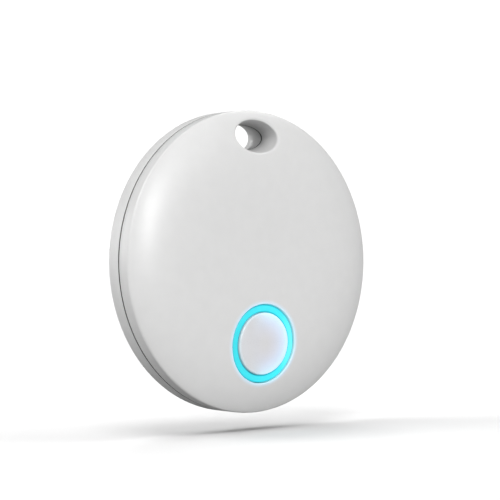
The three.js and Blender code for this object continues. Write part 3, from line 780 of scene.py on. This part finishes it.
def solder_mask():
    """Green lacquer over glass cloth, with copper tracks raised a little beneath it."""
    r = Recipe("green_solder_mask")
    tracks = r.nodes.new("ShaderNodeTexBrick")
    tracks.offset = 0.37
    tracks.inputs["Scale"].default_value = 620.0
    tracks.inputs["Mortar Size"].default_value = 0.055
    tracks.inputs["Mortar Smooth"].default_value = 0.25
    tracks.inputs["Brick Width"].default_value = 1.9
    tracks.inputs["Row Height"].default_value = 0.42
    flat = r.nodes.new("ShaderNodeMapping")
    flat.inputs["Rotation"].default_value = (math.pi / 2, 0, 0)
    r.link(r.place, flat.inputs["Vector"])
    r.link(flat.outputs["Vector"], tracks.inputs["Vector"])
    lines = tracks.outputs["Fac"]
    zones = r.range(r.noise(170.0, detail=1.0), 0.46, 0.54, 0.0, 1.0)
    copper = r.times(lines, zones)
    weave = r.noise(2600.0, detail=1.0, place=r.stretched((1.0, 1.0, 3.0)))
    base = r.mix(r.range(weave, 0.35, 0.65, 0.0, 1.0), (0.010, 0.078, 0.036), (0.016, 0.100, 0.048))
    poured = r.mix(r.range(r.noise(110.0, detail=0.0), 0.5, 0.53, 0.0, 1.0), base, (0.020, 0.135, 0.062))
    r.feed(r.mix(copper, poured, (0.045, 0.215, 0.085)), "Base Color")
    r.feed(r.range(weave, 0.3, 0.7, 0.24, 0.36), "Roughness")
    r.bump(r.plus(copper, r.times(weave, 0.2)), 0.012 * MM)
    return r.material


def gold_plate():
    """Gold over nickel, rubbed along its bends, with faint drawing lines."""
    r = Recipe("gold_plate")
    lines = r.noise(900.0, detail=4.0, place=r.stretched((1.0, 9.0, 9.0)))
    colour = r.mix(r.range(lines, 0.3, 0.7, 0.0, 1.0), (0.80, 0.56, 0.22), (0.92, 0.70, 0.34))
    r.feed(r.mix(r.worn_edges(), colour, (0.80, 0.74, 0.62)), "Base Color")
    r.shader.inputs["Metallic"].default_value = 1.0
    r.feed(r.range(lines, 0.2, 0.8, 0.18, 0.34), "Roughness")
    r.bump(lines, 0.002 * MM)
    return r.material


def turned_metal(name, low, high, rough, height, rings=9000.0, wear=None, stain=None):
    """Metal finished in circles round an axis, with fingerprints of duller metal."""
    r = Recipe(name)
    distance, _, _ = r.axis_distance(height)
    circles = r.nodes.new("ShaderNodeTexNoise")
    circles.noise_dimensions = "1D"
    circles.inputs["Scale"].default_value = rings
    circles.inputs["Detail"].default_value = 4.0
    r.link(distance, circles.inputs["W"])
    blotch = r.range(r.noise(260.0, detail=5.0), 0.45, 0.7, 0.0, 1.0)
    colour = r.mix(circles.outputs["Fac"], low, high)
    if stain:
        colour = r.mix(r.times(blotch, 0.6), colour, stain)
    if wear:
        colour = r.mix(r.worn_edges(), colour, wear)
    r.feed(colour, "Base Color")
    r.shader.inputs["Metallic"].default_value = 1.0
    dull = r.plus(r.times(circles.outputs["Fac"], 0.12), r.times(blotch, 0.1))
    r.feed(r.plus(dull, rough), "Roughness")
    r.bump(circles.outputs["Fac"], 0.0012 * MM)
    return r.material


def lens_resin():
    """Clear resin over a pale phosphor."""
    r = finish("lamp_resin", (0.86, 0.80, 0.52), (0.92, 0.88, 0.66), 0.16, 3000.0, 0.001, mottle=2500.0)
    r.shader.inputs["Coat Weight"].default_value = 0.6
    r.shader.inputs["Coat Roughness"].default_value = 0.06
    return r.material


def felt():
    """White felt of loose fibres."""
    r = Recipe("white_felt")
    fibres = r.noise(5200.0, detail=5.0, roughness=0.7, place=r.stretched((1.0, 1.0, 0.18)))
    r.feed(r.mix(r.range(fibres, 0.3, 0.7, 0.0, 1.0), (0.70, 0.70, 0.68), (0.86, 0.86, 0.84)),
           "Base Color")
    r.feed(r.range(fibres, 0.3, 0.7, 0.8, 0.95), "Roughness")
    r.bump(fibres, 0.02 * MM)
    return r.material


def plain(*settings, **more):
    """A finish with nothing added to it."""
    return finish(*settings, **more).material


def fired_ceramic(name, low, high, rough):
    return plain(name, low, high, rough, 6500.0, 0.003, mottle=2200.0)


# Each finish, with a slot name listed beside it.
FINISHES = {
    "shell": (shell_plastic(), "housing"),
    "cover": (cover_plastic(), "housing"),
    "button": (button_plastic(), "button"),
    "guide": (glowing_guide(), "light_guide"),
    "silicone": (soft_silicone(), "silicone"),
    "foam": (open_foam(), "foam"),
    "mask": (solder_mask(), "board"),
    "gold": (gold_plate(), "contact"),
    "felt": (felt(), "separator"),
    "lens": (lens_resin(), "led"),
    "epoxy": (plain("black_epoxy", (0.018, 0.018, 0.020), (0.034, 0.034, 0.037), 0.5, 7000.0,
              0.006, wear=(0.10, 0.10, 0.105), mottle=1500.0), "chip"),
    "holder": (plain("black_glass_nylon", (0.020, 0.020, 0.022), (0.036, 0.036, 0.040), 0.46,
               5200.0, 0.010, wear=(0.12, 0.12, 0.125), mottle=420.0), "holder"),
    "gasket": (plain("grey_polypropylene", (0.09, 0.09, 0.10), (0.13, 0.13, 0.14), 0.5, 4200.0,
               0.004, mottle=800.0), "gasket"),
    "nylon": (plain("natural_nylon", (0.62, 0.60, 0.53), (0.72, 0.70, 0.64), 0.4, 5200.0,
              0.003, wear=(0.80, 0.79, 0.75), mottle=900.0), "plunger"),
    "spring": (plain("plated_spring_steel", (0.58, 0.59, 0.60), (0.72, 0.73, 0.74), 0.26,
               5200.0, 0.002, 1.0, wear=(0.85, 0.85, 0.85), mottle=700.0), "spring_steel"),
    "tin": (plain("tinned_solder", (0.62, 0.63, 0.64), (0.78, 0.79, 0.80), 0.3, 3600.0, 0.008,
            1.0, mottle=1800.0), "spring_steel"),
    "copper": (plain("copper_winding", (0.55, 0.22, 0.11), (0.72, 0.34, 0.18), 0.32, 4200.0,
               0.004, 1.0, mottle=2400.0), "contact"),
    "antenna": (fired_ceramic("glazed_antenna_ceramic", (0.70, 0.68, 0.60), (0.80, 0.78, 0.71),
                0.25), "antenna"),
    "tan": (fired_ceramic("tan_capacitor_ceramic", (0.34, 0.22, 0.12), (0.46, 0.32, 0.19),
            0.42), "capacitor"),
    "black_glaze": (fired_ceramic("black_resistor_glaze", (0.014, 0.014, 0.016), (0.04, 0.04,
                    0.045), 0.28), "resistor"),
    "piezo": (fired_ceramic("piezo_ceramic", (0.60, 0.58, 0.50), (0.70, 0.68, 0.61), 0.55), "piezo"),
    "lithium": (plain("lithium_foil", (0.36, 0.37, 0.39), (0.52, 0.53, 0.56), 0.5, 2400.0,
                0.02, 1.0, mottle=500.0, spread=0.12), "anode"),
    "cathode": (plain("pressed_black_powder", (0.014, 0.014, 0.015), (0.05, 0.05, 0.052), 0.85,
                6500.0, 0.03, mottle=1600.0), "cathode"),
    "can": (turned_metal("nickel_plated_can", (0.58, 0.58, 0.57), (0.74, 0.74, 0.73), 0.2,
            CELL_HEIGHT, wear=(0.86, 0.86, 0.85), stain=(0.5, 0.5, 0.49)), "cell_steel"),
    "brass": (turned_metal("rolled_brass", (0.62, 0.42, 0.15), (0.80, 0.60, 0.27), 0.24,
              SOUNDER_HEIGHT, rings=4200.0, stain=(0.42, 0.26, 0.10)), "brass"),
    "screw": (plain("zinc_plated_steel", (0.46, 0.47, 0.49), (0.62, 0.63, 0.64), 0.3, 5200.0,
              0.003, 1.0, wear=(0.80, 0.80, 0.80), mottle=1300.0), "screw"),
}


# ---- Button seal, foam and switch ----
def build_button_inside():
    """The silicone seal, the foam that keeps light in, and the push switch under the button."""
    seal = [(3.5, -1.72), (3.56, -1.9), (3.72, -2.0), (3.72, -2.15), (3.56, -2.25), (3.5, -2.43), (4.38, -2.43)]
    seal += [(4.5, -2.37), (4.5, -2.25), (4.34, -2.14), (4.34, -2.01), (4.5, -1.9), (4.5, -1.78), (4.44, -1.72)]
    seal = moved(eased(turned(seal, 96), 0.03), z=BUTTON_HEIGHT)
    ring = piece("silicone_button_seal", seal, "silicone", ["button_seal"])
    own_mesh(ring)
    foam = washer(6.2, 6.55, -2.48, -1.72, 0.02, BUTTON_HEIGHT)
    piece("foam_light_gasket", foam, "foam", ["light_shield"])
    body = eased(block((3.5, 0.83, 3.5), (0, -2.135, 0)), 0.12, 3)
    chamber = turned([(0, -3), (0.95, -3), (0.95, -2.35), (1.3, -2.35), (1.3, -1.78), (0, -1.78)], 48)
    body = moved(cut(body, chamber), z=BUTTON_HEIGHT)
    piece("push_switch_body", body, "epoxy", ["switch_body"])
    feet = [eased(block((0.5, 0.18, 0.5), (x, -1.81, z)), 0.04) for x in (-1.72, 1.72) for z in (-1.2, 1.2)]
    piece("push_switch_feet", moved(joined(*feet), z=BUTTON_HEIGHT), "tin")
    stem = [(0, -2.1), (1.17, -2.1), (1.2, -2.13), (1.2, -2.27), (1.17, -2.3), (0.85, -2.3), (0.85, -2.88)]
    stem += [(0.78, -2.95), (0.3, -2.95), (0, -2.94)]
    piece("push_switch_plunger", turned(stem, 48, BUTTON_HEIGHT), "nylon",
          ["switch_plunger"], body="plunger")
    rise = [(1.2 * i / 8, -1.8 - 0.2 * (1 - (i / 8) ** 2)) for i in range(9)]
    dome = rise + [(r, y - 0.055) for r, y in rise[::-1]]
    snap = piece("snap_dome", turned(dome, 48, BUTTON_HEIGHT), "spring", ["switch_dome"])
    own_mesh(snap)


def build_lamps():
    """Six lamps under the light ring, each a resin block on a base of the same resin, with tinned ends."""
    for i in range(6):
        angle = (i + 0.5) * FULL_TURN / 6
        lens = eased(block((0.66, 0.25, 0.42), (0, -1.945, 0)), 0.05)
        base = eased(block((0.8, 0.1, 0.5), (0, -1.77, 0)), 0.02)
        ends = [eased(block((0.14, 0.16, 0.48), (x, -1.80, 0)), 0.03) for x in (-0.43, 0.43)]
        x, z = 5.45 * MM * math.sin(angle), BUTTON_HEIGHT + 5.45 * MM * math.cos(angle)
        lamp = moved(spun(joined(lens, base), angle), x=x, z=z)
        piece(f"lamp_{i + 1}", lamp, "lens", [f"led_{i + 1}"])
        ends = moved(spun(joined(*ends), angle), x=x, z=z)
        piece(f"lamp_{i + 1}_ends", ends, "tin")


# ---- Circuit board ----
def build_board():
    board = cut(disc(17.4, -1.7, -0.9, 0.05, 160), block((10.4, 4, 8), (0, 0, 17.4)))
    for x, z in SCREW_PLACES:
        board = cut(board, moved(rod(0.7, -3, 1, 32), x=x, z=z))
    piece("circuit_board", board, "mask", ["main_board"])
    pads = []
    for x, z in SCREW_PLACES:
        for outer, inner in ((-0.89, -0.91), (-1.71, -1.69)):
            pads.append(moved(collar(0.72, 1.35, outer, inner), x=x, z=z))
    for i in range(14):
        angle = math.radians(18 + 13 * i)
        spot = [(0.0, -0.888), (0.28, -0.888), (0.3, -0.91), (0.0, -0.91)]
        pads.append(moved(turned(spot, 16), x=14.4 * MM * math.cos(angle), z=-14.4 * MM * math.sin(angle)))
    piece("board_test_pads", joined(*pads), "gold")
    holes = []
    for i in range(64):
        angle = 2.399963 * i
        radius = (3.2 + 1.55 * math.sqrt(i)) * MM
        via = [(0.09, -0.892), (0.2, -0.892), (0.2, -0.905), (0.09, -0.905)]
        x, z = radius * math.cos(angle), radius * math.sin(angle)
        if z < 12.5 * MM and all(math.hypot(x - sx, z - sz) > 2 * MM for sx, sz in SCREW_PLACES):
            holes.append(moved(turned(via, 10), x=x, z=z))
    piece("board_vias", joined(*holes), "copper")


BOARD_PARTS = {
    "radio_chip": (4, 0.75, 4, -10.6, -2.6),
    "main_crystal": (2, 0.5, 1.6, -10.6, 1.4),
    "clock_crystal": (1.5, 0.75, 3.2, -14.3, -2.6),
    "antenna_chip": (2, 0.6, 6.5, 14.6, 0),
    "sounder_coil": (3, 0.8, 3, 10.4, -2.8),
    "supply_capacitor": (2, 0.8, 1.25, 10.4, 1.2),
    "antenna_coil": (1, 0.5, 0.5, 12.6, 3.2),
}


def solid_part(name, depth, inset=(0.0, 0.0), lift=0.0, ease=0.05):
    """An eased block on the front of the board, drawn in from the part's own box by an inset."""
    width, thickness, height, x, z = BOARD_PARTS[name]
    front = -1.72 - thickness
    size = (width - 2 * inset[0], depth, height - 2 * inset[1])
    return eased(block(size, (x, front + depth / 2 + lift, z)), ease)


def build_chips():
    """The radio chip with its side pads, two canned crystals, and the sounder's wound coil."""
    chip = solid_part("radio_chip", 0.7, (0.05, 0.05), ease=0.06)
    piece("radio_chip_body", chip, "epoxy", ["radio_chip"])
    pads = []
    for i in range(8):
        step = -1.4 + 0.4 * i
        for side in (-1, 1):
            pads.append(block((0.12, 0.16, 0.22), (-10.6 + 1.93 * side, -1.8, -2.6 + step)))
            pads.append(block((0.22, 0.16, 0.12), (-10.6 + step, -1.8, -2.6 + 1.93 * side)))
    piece("radio_chip_pads", joined(*pads), "tin")
    for name in ("main_crystal", "clock_crystal"):
        thickness = BOARD_PARTS[name][1]
        base = solid_part(name, 0.45 * thickness, lift=0.55 * thickness, ease=0.04)
        lid = solid_part(name, 0.6 * thickness, (0.12, 0.12), ease=0.09)
        piece(f"{name}_base", base, "tan", slot="antenna")
        piece(f"{name}_can", lid, "spring", [name])
    coil = solid_part("sounder_coil", 0.8, ease=0.12)
    well = moved(rod(1.1, -3, -2.3, 32), x=10.4 * MM, z=-2.8 * MM)
    piece("sounder_coil_core", cut(coil, well), "epoxy", ["sounder_coil"])
    bumps = []
    for i in range(6):
        bumps += [(0.99, -2.46 + 0.025 * i), (1.04, -2.4475 + 0.025 * i)]
    winding = [(0.45, -2.3), (0.45, -2.46)] + bumps + [(0.99, -2.3)]
    winding = moved(turned(winding, 32), x=10.4 * MM, z=-2.8 * MM)
    piece("sounder_coil_wire", winding, "copper")


def capped_part(name, x, z, size, body_finish):
    """A small ceramic part with tinned end caps, lying along x."""
    width, thickness, height = size
    middle = -1.72 - thickness / 2
    cap = 0.22 * width
    body = eased(block((width - cap, 0.92 * thickness, 0.94 * height), (x, middle, z)), 0.03)
    reach = (width - cap) / 2
    ends = [eased(block((cap, thickness, height), (x + s, middle, z)), 0.05, 3) for s in (-reach, reach)]
    piece(f"{name}_body", body, body_finish, [name])
    piece(f"{name}_ends", joined(*ends), "tin")


def build_small_parts():
    for i in range(4):
        capped_part(f"capacitor_{i + 1}", -7.4, -4 + 1.2 * i, (1, 0.5, 0.5), "tan")
    for i in range(3):
        capped_part(f"resistor_{i + 1}", 7.6, -4 + 1.2 * i, (1, 0.35, 0.5), "black_glaze")
    for name in ("supply_capacitor", "antenna_coil"):
        width, thickness, height, x, z = BOARD_PARTS[name]
        capped_part(name, x, z, (width, thickness, height), "tan")
    width, thickness, height, x, z = BOARD_PARTS["antenna_chip"]
    middle = -1.72 - thickness / 2
    body = eased(block((width, thickness, height), (x, middle, z)), 0.06)
    piece("antenna_ceramic", body, "antenna", ["antenna_chip"])
    bands = []
    for i in range(7):
        band = block((width - 0.2, 0.02, 0.28), (x, -1.72 - thickness, z - 2.55 + 0.85 * i))
        bands.append(eased(band, 0.005))
    bands = [moved(band, y=0.008 * MM) for band in bands]
    piece("antenna_bands", joined(*bands), "tin")


# ---- Sounder ----
def bent_strip(path, thickness, width, bend=0.12):
    """A sheet-metal strip bent along a path of (x, y) millimetres, with its thickness towards the front."""
    bm = bmesh.new()
    verts = [bm.verts.new((x * MM, y * MM, -width * MM / 2)) for x, y in path]
    edges = [bm.edges.new(pair) for pair in zip(verts, verts[1:])]
    grown = bmesh.ops.extrude_edge_only(bm, edges=edges)["geom"]
    far = [g for g in grown if isinstance(g, bmesh.types.BMVert)]
    bmesh.ops.translate(bm, vec=(0, 0, width * MM), verts=far)
    folds = [e for e in bm.edges if len(e.link_faces) == 2]
    bmesh.ops.bevel(bm, geom=folds, offset=bend * MM, affect="EDGES", segments=5, profile=0.5, material=-1,
                    clamp_overlap=True)
    grown = bmesh.ops.extrude_face_region(bm, geom=bm.faces[:])["geom"]
    moving = [g for g in grown if isinstance(g, bmesh.types.BMVert)]
    shifts = {}
    for vert in moving:
        normal = vert.normal.copy()
        shifts[vert] = normal * (-1 if normal.y > 0 else 1) * thickness * MM
    for vert, shift in shifts.items():
        vert.co += shift
    bmesh.ops.recalc_face_normals(bm, faces=bm.faces[:])
    return bm


def build_sounder():
    """A ceramic disc silvered on its rear, on a brass plate held by foam and reached by two springs."""
    foam = washer(5.7, 6.5, -3.13, -2.82, 0.02, SOUNDER_HEIGHT)
    piece("sounder_foam_ring", foam, "foam", ["sounder_foam"])
    plate = [(0, -2.8), (6.46, -2.8), (6.5, -2.76), (6.5, -2.66), (6.46, -2.62), (0, -2.62)]
    piece("sounder_brass", turned(plate, 128, SOUNDER_HEIGHT), "brass", ["sounder_plate"])
    ceramic = [(0, -2.6), (4.58, -2.6), (4.6, -2.58), (4.6, -2.482), (4.58, -2.462), (0, -2.462)]
    piece("sounder_ceramic", turned(ceramic, 96, SOUNDER_HEIGHT), "piezo", ["sounder_disc"])
    silver = moved(turned([(0, -2.466), (4.1, -2.466), (4.1, -2.452), (0, -2.45)], 96), z=SOUNDER_HEIGHT)
    piece("sounder_silvering", silver, "tin")
    for number, (place, tip) in enumerate(((-6.3, -2.6), (1.0, -2.43)), 1):
        path = [(0.02, -1.72), (1.45, -1.72), (0.42, tip + 0.1), (1.08, tip + 0.1)]
        spring = moved(bent_strip(path, 0.1, 1.2, 0.08), x=place * MM, z=SOUNDER_HEIGHT)
        piece(f"sounder_contact_{number}", spring, "gold", [f"sounder_spring_{number}"])


# ---- Coin cell, holder and contacts ----
def build_cell():
    """A crimped steel can with a stepped cap, a cuff between them, and the discs inside."""
    can = [(0, 2.7), (8.9, 2.7), (9.0, 2.66), (9.12, 2.62), (9.3, 2.64), (9.45, 2.66), (9.66, 2.62), (9.84, 2.52)]
    can += [(9.95, 2.36), (10.0, 2.16), (10.0, 0.25), (9.98, 0.02), (9.9, -0.12), (9.78, -0.18), (9.62, -0.2)]
    can += [(9.5, -0.17), (9.5, -0.08), (9.68, -0.02), (9.75, 0.1), (9.75, 2.36), (9.66, 2.45), (0, 2.45)]
    piece("cell_positive_can", turned(can, 160, CELL_HEIGHT), "can", ["cell_can"], body="cell")
    cap = [(0, -0.5), (8.0, -0.5), (8.25, -0.47), (8.42, -0.38), (8.5, -0.25), (8.56, -0.12), (8.72, -0.04)]
    cap += [(8.86, 0.04), (8.9, 0.2), (8.9, 1.18), (8.88, 1.2), (8.67, 1.2), (8.65, 1.18), (8.65, 0.25)]
    cap += [(8.5, 0.15), (8.3, 0.08), (8.2, -0.1), (8.05, -0.25), (0, -0.25)]
    piece("cell_negative_cap", turned(cap, 160, CELL_HEIGHT), "can", ["cell_cap"], body="cell")
    cuff = [(8.95, 0.2), (8.98, -0.08), (9.06, -0.16), (9.2, -0.2), (9.42, -0.2), (9.46, -0.04), (9.66, 0.02)]
    cuff += [(9.7, 0.1), (9.7, 1.26), (9.66, 1.3), (8.99, 1.3), (8.95, 1.26)]
    piece("cell_sealing_cuff", turned(cuff, 160, CELL_HEIGHT), "gasket",
          ["cell_gasket"], body="cell")
    discs = (
        ("cell_lithium_disc", "cell_anode", "lithium", -0.2, 0.55, 8.1),
        ("cell_felt_disc", "cell_separator", "felt", 0.6, 0.75, 8.6),
        ("cell_powder_disc", "cell_cathode", "cathode", 0.8, 2.4, 8.6),
    )
    for name, node, look, front, rear, radius in discs:
        piece(name, disc(radius, front, rear, 0.04, 96, CELL_HEIGHT), look, [node], body="cell")


def build_holder():
    """A walled seat for the cell, with a screwed ear on each of four arms and a gap for the contact."""
    ring = [(10.3, -0.88), (11.3, -0.88), (11.3, 2.05), (11.15, 2.2), (10.55, 2.2), (10.3, 1.95)]
    holder = turned(ring, 128)
    for x, z in SCREW_PLACES:
        rise = z - CELL_HEIGHT
        reach = math.hypot(x, rise) / MM
        angle = -math.atan2(rise, x)
        ear = turned([(0, -0.88), (2.1, -0.88), (2.1, 0.3), (2.0, 0.4), (0, 0.4)], 48)
        arm = eased(block((reach - 10.5, 1.26, 4.0), ((reach + 10.5) / 2, -0.245, 0)), 0.08)
        rib = eased(block((1.5, 1.4, 0.8), (11.6, 0.75, 0)), 0.1)
        holder = added(holder, moved(ear, x=x, z=rise))
        holder = added(holder, spun(arm, angle))
        holder = added(holder, spun(rib, angle))
    for x, z in SCREW_PLACES:
        rise = z - CELL_HEIGHT
        hole = turned([(0, -2), (0.7, -2), (0.7, 0.3), (0.8, 0.41), (0.8, 1.0), (0, 1.0)], 32)
        holder = cut(holder, moved(hole, x=x, z=rise))
    space = [(0, -2), (10.3, -2), (10.3, 1.95), (10.56, 2.21), (10.56, 4), (0, 4)]
    holder = cut(holder, turned(space, 128))
    holder = cut(holder, block((4, 8, 5), (11.8, 0, 0)))
    piece("cell_seat", moved(holder, z=CELL_HEIGHT), "holder", ["cell_holder"])


def build_contacts():
    """Gold-plated strips: one that stands beside the cell, and one bowed in front of it."""
    side = bent_strip([(11.86, -0.74), (10.2, -0.74), (10.2, 2.0)], 0.11, 4.0, 0.1)
    notch = block((4, 4, 0.6), (10.2, 3.2, 0))
    piece("side_contact_strip", moved(cut(side, notch), z=CELL_HEIGHT), "gold", ["side_contact"])
    path = [(-5, -0.77), (-3.4, -0.77), (-1, -0.53), (1, -0.53), (3.4, -0.77), (5, -0.77)]
    bow = bent_strip(path, 0.1, 3.0, 0.5)
    slot = eased(block((3.0, 2, 0.5), (0, -0.6, 0)), 0.1)
    piece("front_contact_strip", moved(cut(bow, slot), z=CELL_HEIGHT), "gold", ["front_contact"])


def build_screws():
    """Pan-head screws with a cross recess and rolled threads."""
    for number, (x, z) in enumerate(SCREW_PLACES, 1):
        threads = []
        for i in range(10):
            y = 0.2 - 0.29 * i
            threads += [(0.42, y), (0.5, y - 0.1), (0.5, y - 0.13), (0.42, y - 0.23)]
        head = [(0, 0.92), (0.55, 0.91), (0.85, 0.84), (1.02, 0.7), (1.05, 0.6), (1.05, 0.45), (1.02, 0.42)]
        screw = turned(head + [(0.45, 0.42)] + threads + [(0.25, -2.75), (0, -2.85)], 40)
        for size in ((1.3, 0.5, 0.3), (0.3, 0.5, 1.3)):
            screw = cut(screw, block(size, (0, 0.92, 0)))
        piece(f"case_screw_{number}", moved(screw, x=x, z=z), "screw", [f"screw_{number}"])


def build_cover_pad():
    pad = [(0, 2.72), (4.9, 2.72), (5.0, 2.76), (5.0, 2.86), (4.9, 2.9), (0, 2.9)]
    piece("cover_foam_pad", turned(pad, 96, CELL_HEIGHT), "foam", ["cover_pad"], body="cover")


# ---- Camera, floor and light ----
CAMERA_AZIMUTH = -38.45
CAMERA_ELEVATION = 0.706
CAMERA_ROLL = -0.81
CAMERA_DISTANCE = 223.3 * MM
CAMERA_LENS = 120.6
CAMERA_SHIFT = (0.014, 0.0232)


def direction(azimuth, elevation):
    across = math.cos(elevation)
    return Vector((math.sin(azimuth) * across, -math.cos(azimuth) * across, math.sin(elevation)))


def aim_camera():
    """Sets the camera low, to the tag's left, with a long lens."""
    azimuth = math.radians(CAMERA_AZIMUTH)
    elevation = math.radians(CAMERA_ELEVATION)
    roll = math.radians(CAMERA_ROLL)
    back = direction(azimuth, elevation)
    side = Vector((math.cos(azimuth), math.sin(azimuth), 0))
    up = back.cross(side)
    right = side * math.cos(roll) + up * math.sin(roll)
    above = up * math.cos(roll) - side * math.sin(roll)
    data = bpy.data.cameras.new("camera")
    data.sensor_width = 36
    data.lens = CAMERA_LENS
    data.shift_x, data.shift_y = CAMERA_SHIFT
    data.clip_start = 0.01
    data.clip_end = 50
    camera = bpy.data.objects.new("camera", data)
    turn = Matrix((right, above, back)).transposed().to_4x4()
    camera.matrix_world = Matrix.Translation(Vector((0, 0, TAG_MIDDLE)) + back * CAMERA_DISTANCE) @ turn
    bpy.context.scene.collection.objects.link(camera)
    bpy.context.scene.camera = camera


FLOOR_DROP = 1.122 * TAG_RADIUS
FLOOR_BOUNCE = (0.25, 0.25, 0.25)
FLOOR_SPREAD = 28
AMBIENT = 0.12

# Strength, then how far each leans to the camera's right and towards it, in degrees.
FLOOR_LIGHTS = ((1.12, -50, 0), (0.62, -18, 0), (0.78, 0, -30), (1.12, 0, 30), (0.42, 18, 0), (0.8, 50, 0))

# Name, strength, azimuth, elevation and spread, in degrees.
TAG_LIGHTS = (
    ("rear_left", 0.63, -145, 8, 30),
    ("left", 1.26, -110, 42, 15),
    ("front_left", 0.77, -60, 30, 30),
    ("front_strip_low", 0.41, -5, 8, 8),
    ("front_strip", 0.85, -5, 16, 8),
    ("front_strip_high", 0.38, -10, 24, 8),
    ("front_right", 0.38, 15, 30, 30),
    ("right", 0.08, 50, 8, 30),
    ("right_top", 0.89, 100, 50, 30),
)


def floor_paint():
    """Pale paint that shows white and throws less light back up at the tag."""
    r = Recipe("studio_floor")
    fleck = r.range(r.noise(40.0), 0.3, 0.7, 0.0, 1.0)
    seen = r.mix(fleck, (0.79, 0.79, 0.79), (0.81, 0.81, 0.81))
    path = r.nodes.new("ShaderNodeLightPath").outputs["Is Camera Ray"]
    r.feed(r.mix(path, FLOOR_BOUNCE, seen), "Base Color")
    r.shader.inputs["Roughness"].default_value = 0.9
    r.shader.inputs["Specular IOR Level"].default_value = 0.0
    return r.material


def lay_floor():
    bm = bmesh.new()
    bmesh.ops.create_grid(bm, x_segments=2, y_segments=2, size=6.0)
    bmesh.ops.translate(bm, vec=(0, 0, TAG_MIDDLE - FLOOR_DROP), verts=bm.verts[:])
    mesh = bpy.data.meshes.new("floor")
    bm.to_mesh(mesh)
    bm.free()
    mesh.materials.append(floor_paint())
    floor = bpy.data.objects.new("floor", mesh)
    bpy.context.scene.collection.objects.link(floor)
    return floor


def soft_sun(name, strength, toward, spread, lit):
    """A soft distant light, which lights only what its collection says."""
    data = bpy.data.lights.new(name, "SUN")
    data.energy = strength
    data.angle = math.radians(spread)
    light = bpy.data.objects.new(name, data)
    light.rotation_euler = toward.to_track_quat("Z", "Y").to_euler()
    light.light_linking.receiver_collection = lit
    bpy.context.scene.collection.objects.link(light)


def light_studio(floor):
    world = bpy.data.worlds.new("studio")
    bpy.context.scene.world = world
    world.use_nodes = True
    nodes = world.node_tree.nodes
    links = world.node_tree.links
    path = nodes.new("ShaderNodeLightPath")
    level = nodes.new("ShaderNodeMapRange")
    level.inputs["To Min"].default_value = AMBIENT
    level.inputs["To Max"].default_value = 1.1
    links.new(path.outputs["Is Camera Ray"], level.inputs["Value"])
    links.new(level.outputs["Result"], nodes["Background"].inputs["Strength"])
    nodes["Background"].inputs["Color"].default_value = (1, 1, 1, 1)

    only_floor = bpy.data.collections.new("lit_floor")
    only_floor.objects.link(floor)
    only_tag = bpy.data.collections.new("lit_tag")
    only_tag.objects.link(floor)
    only_tag.collection_objects[0].light_linking.link_state = "EXCLUDE"
    azimuth = math.radians(CAMERA_AZIMUTH)
    right = Vector((math.cos(azimuth), math.sin(azimuth), 0))
    nearer = Vector((math.sin(azimuth), -math.cos(azimuth), 0))
    for i, (strength, sideways, forwards) in enumerate(FLOOR_LIGHTS):
        lean = right * math.tan(math.radians(sideways)) + nearer * math.tan(math.radians(forwards))
        toward = (lean + Vector((0, 0, 1))).normalized()
        soft_sun(f"floor_light_{i + 1}", strength, toward, FLOOR_SPREAD, only_floor)
    for name, strength, azimuth, elevation, spread in TAG_LIGHTS:
        toward = direction(math.radians(azimuth), math.radians(elevation))
        soft_sun(name, strength, toward, spread, only_tag)


# ---- Building ----
build_front_shell()
build_rear_cover()
build_button()
build_light_ring()
build_button_inside()
build_lamps()
build_board()
build_chips()
build_small_parts()
build_sounder()
build_cell()
build_holder()
build_contacts()
build_screws()
build_cover_pad()
aim_camera()
light_studio(lay_floor())

bpy.context.scene.view_settings.view_transform = "Standard"
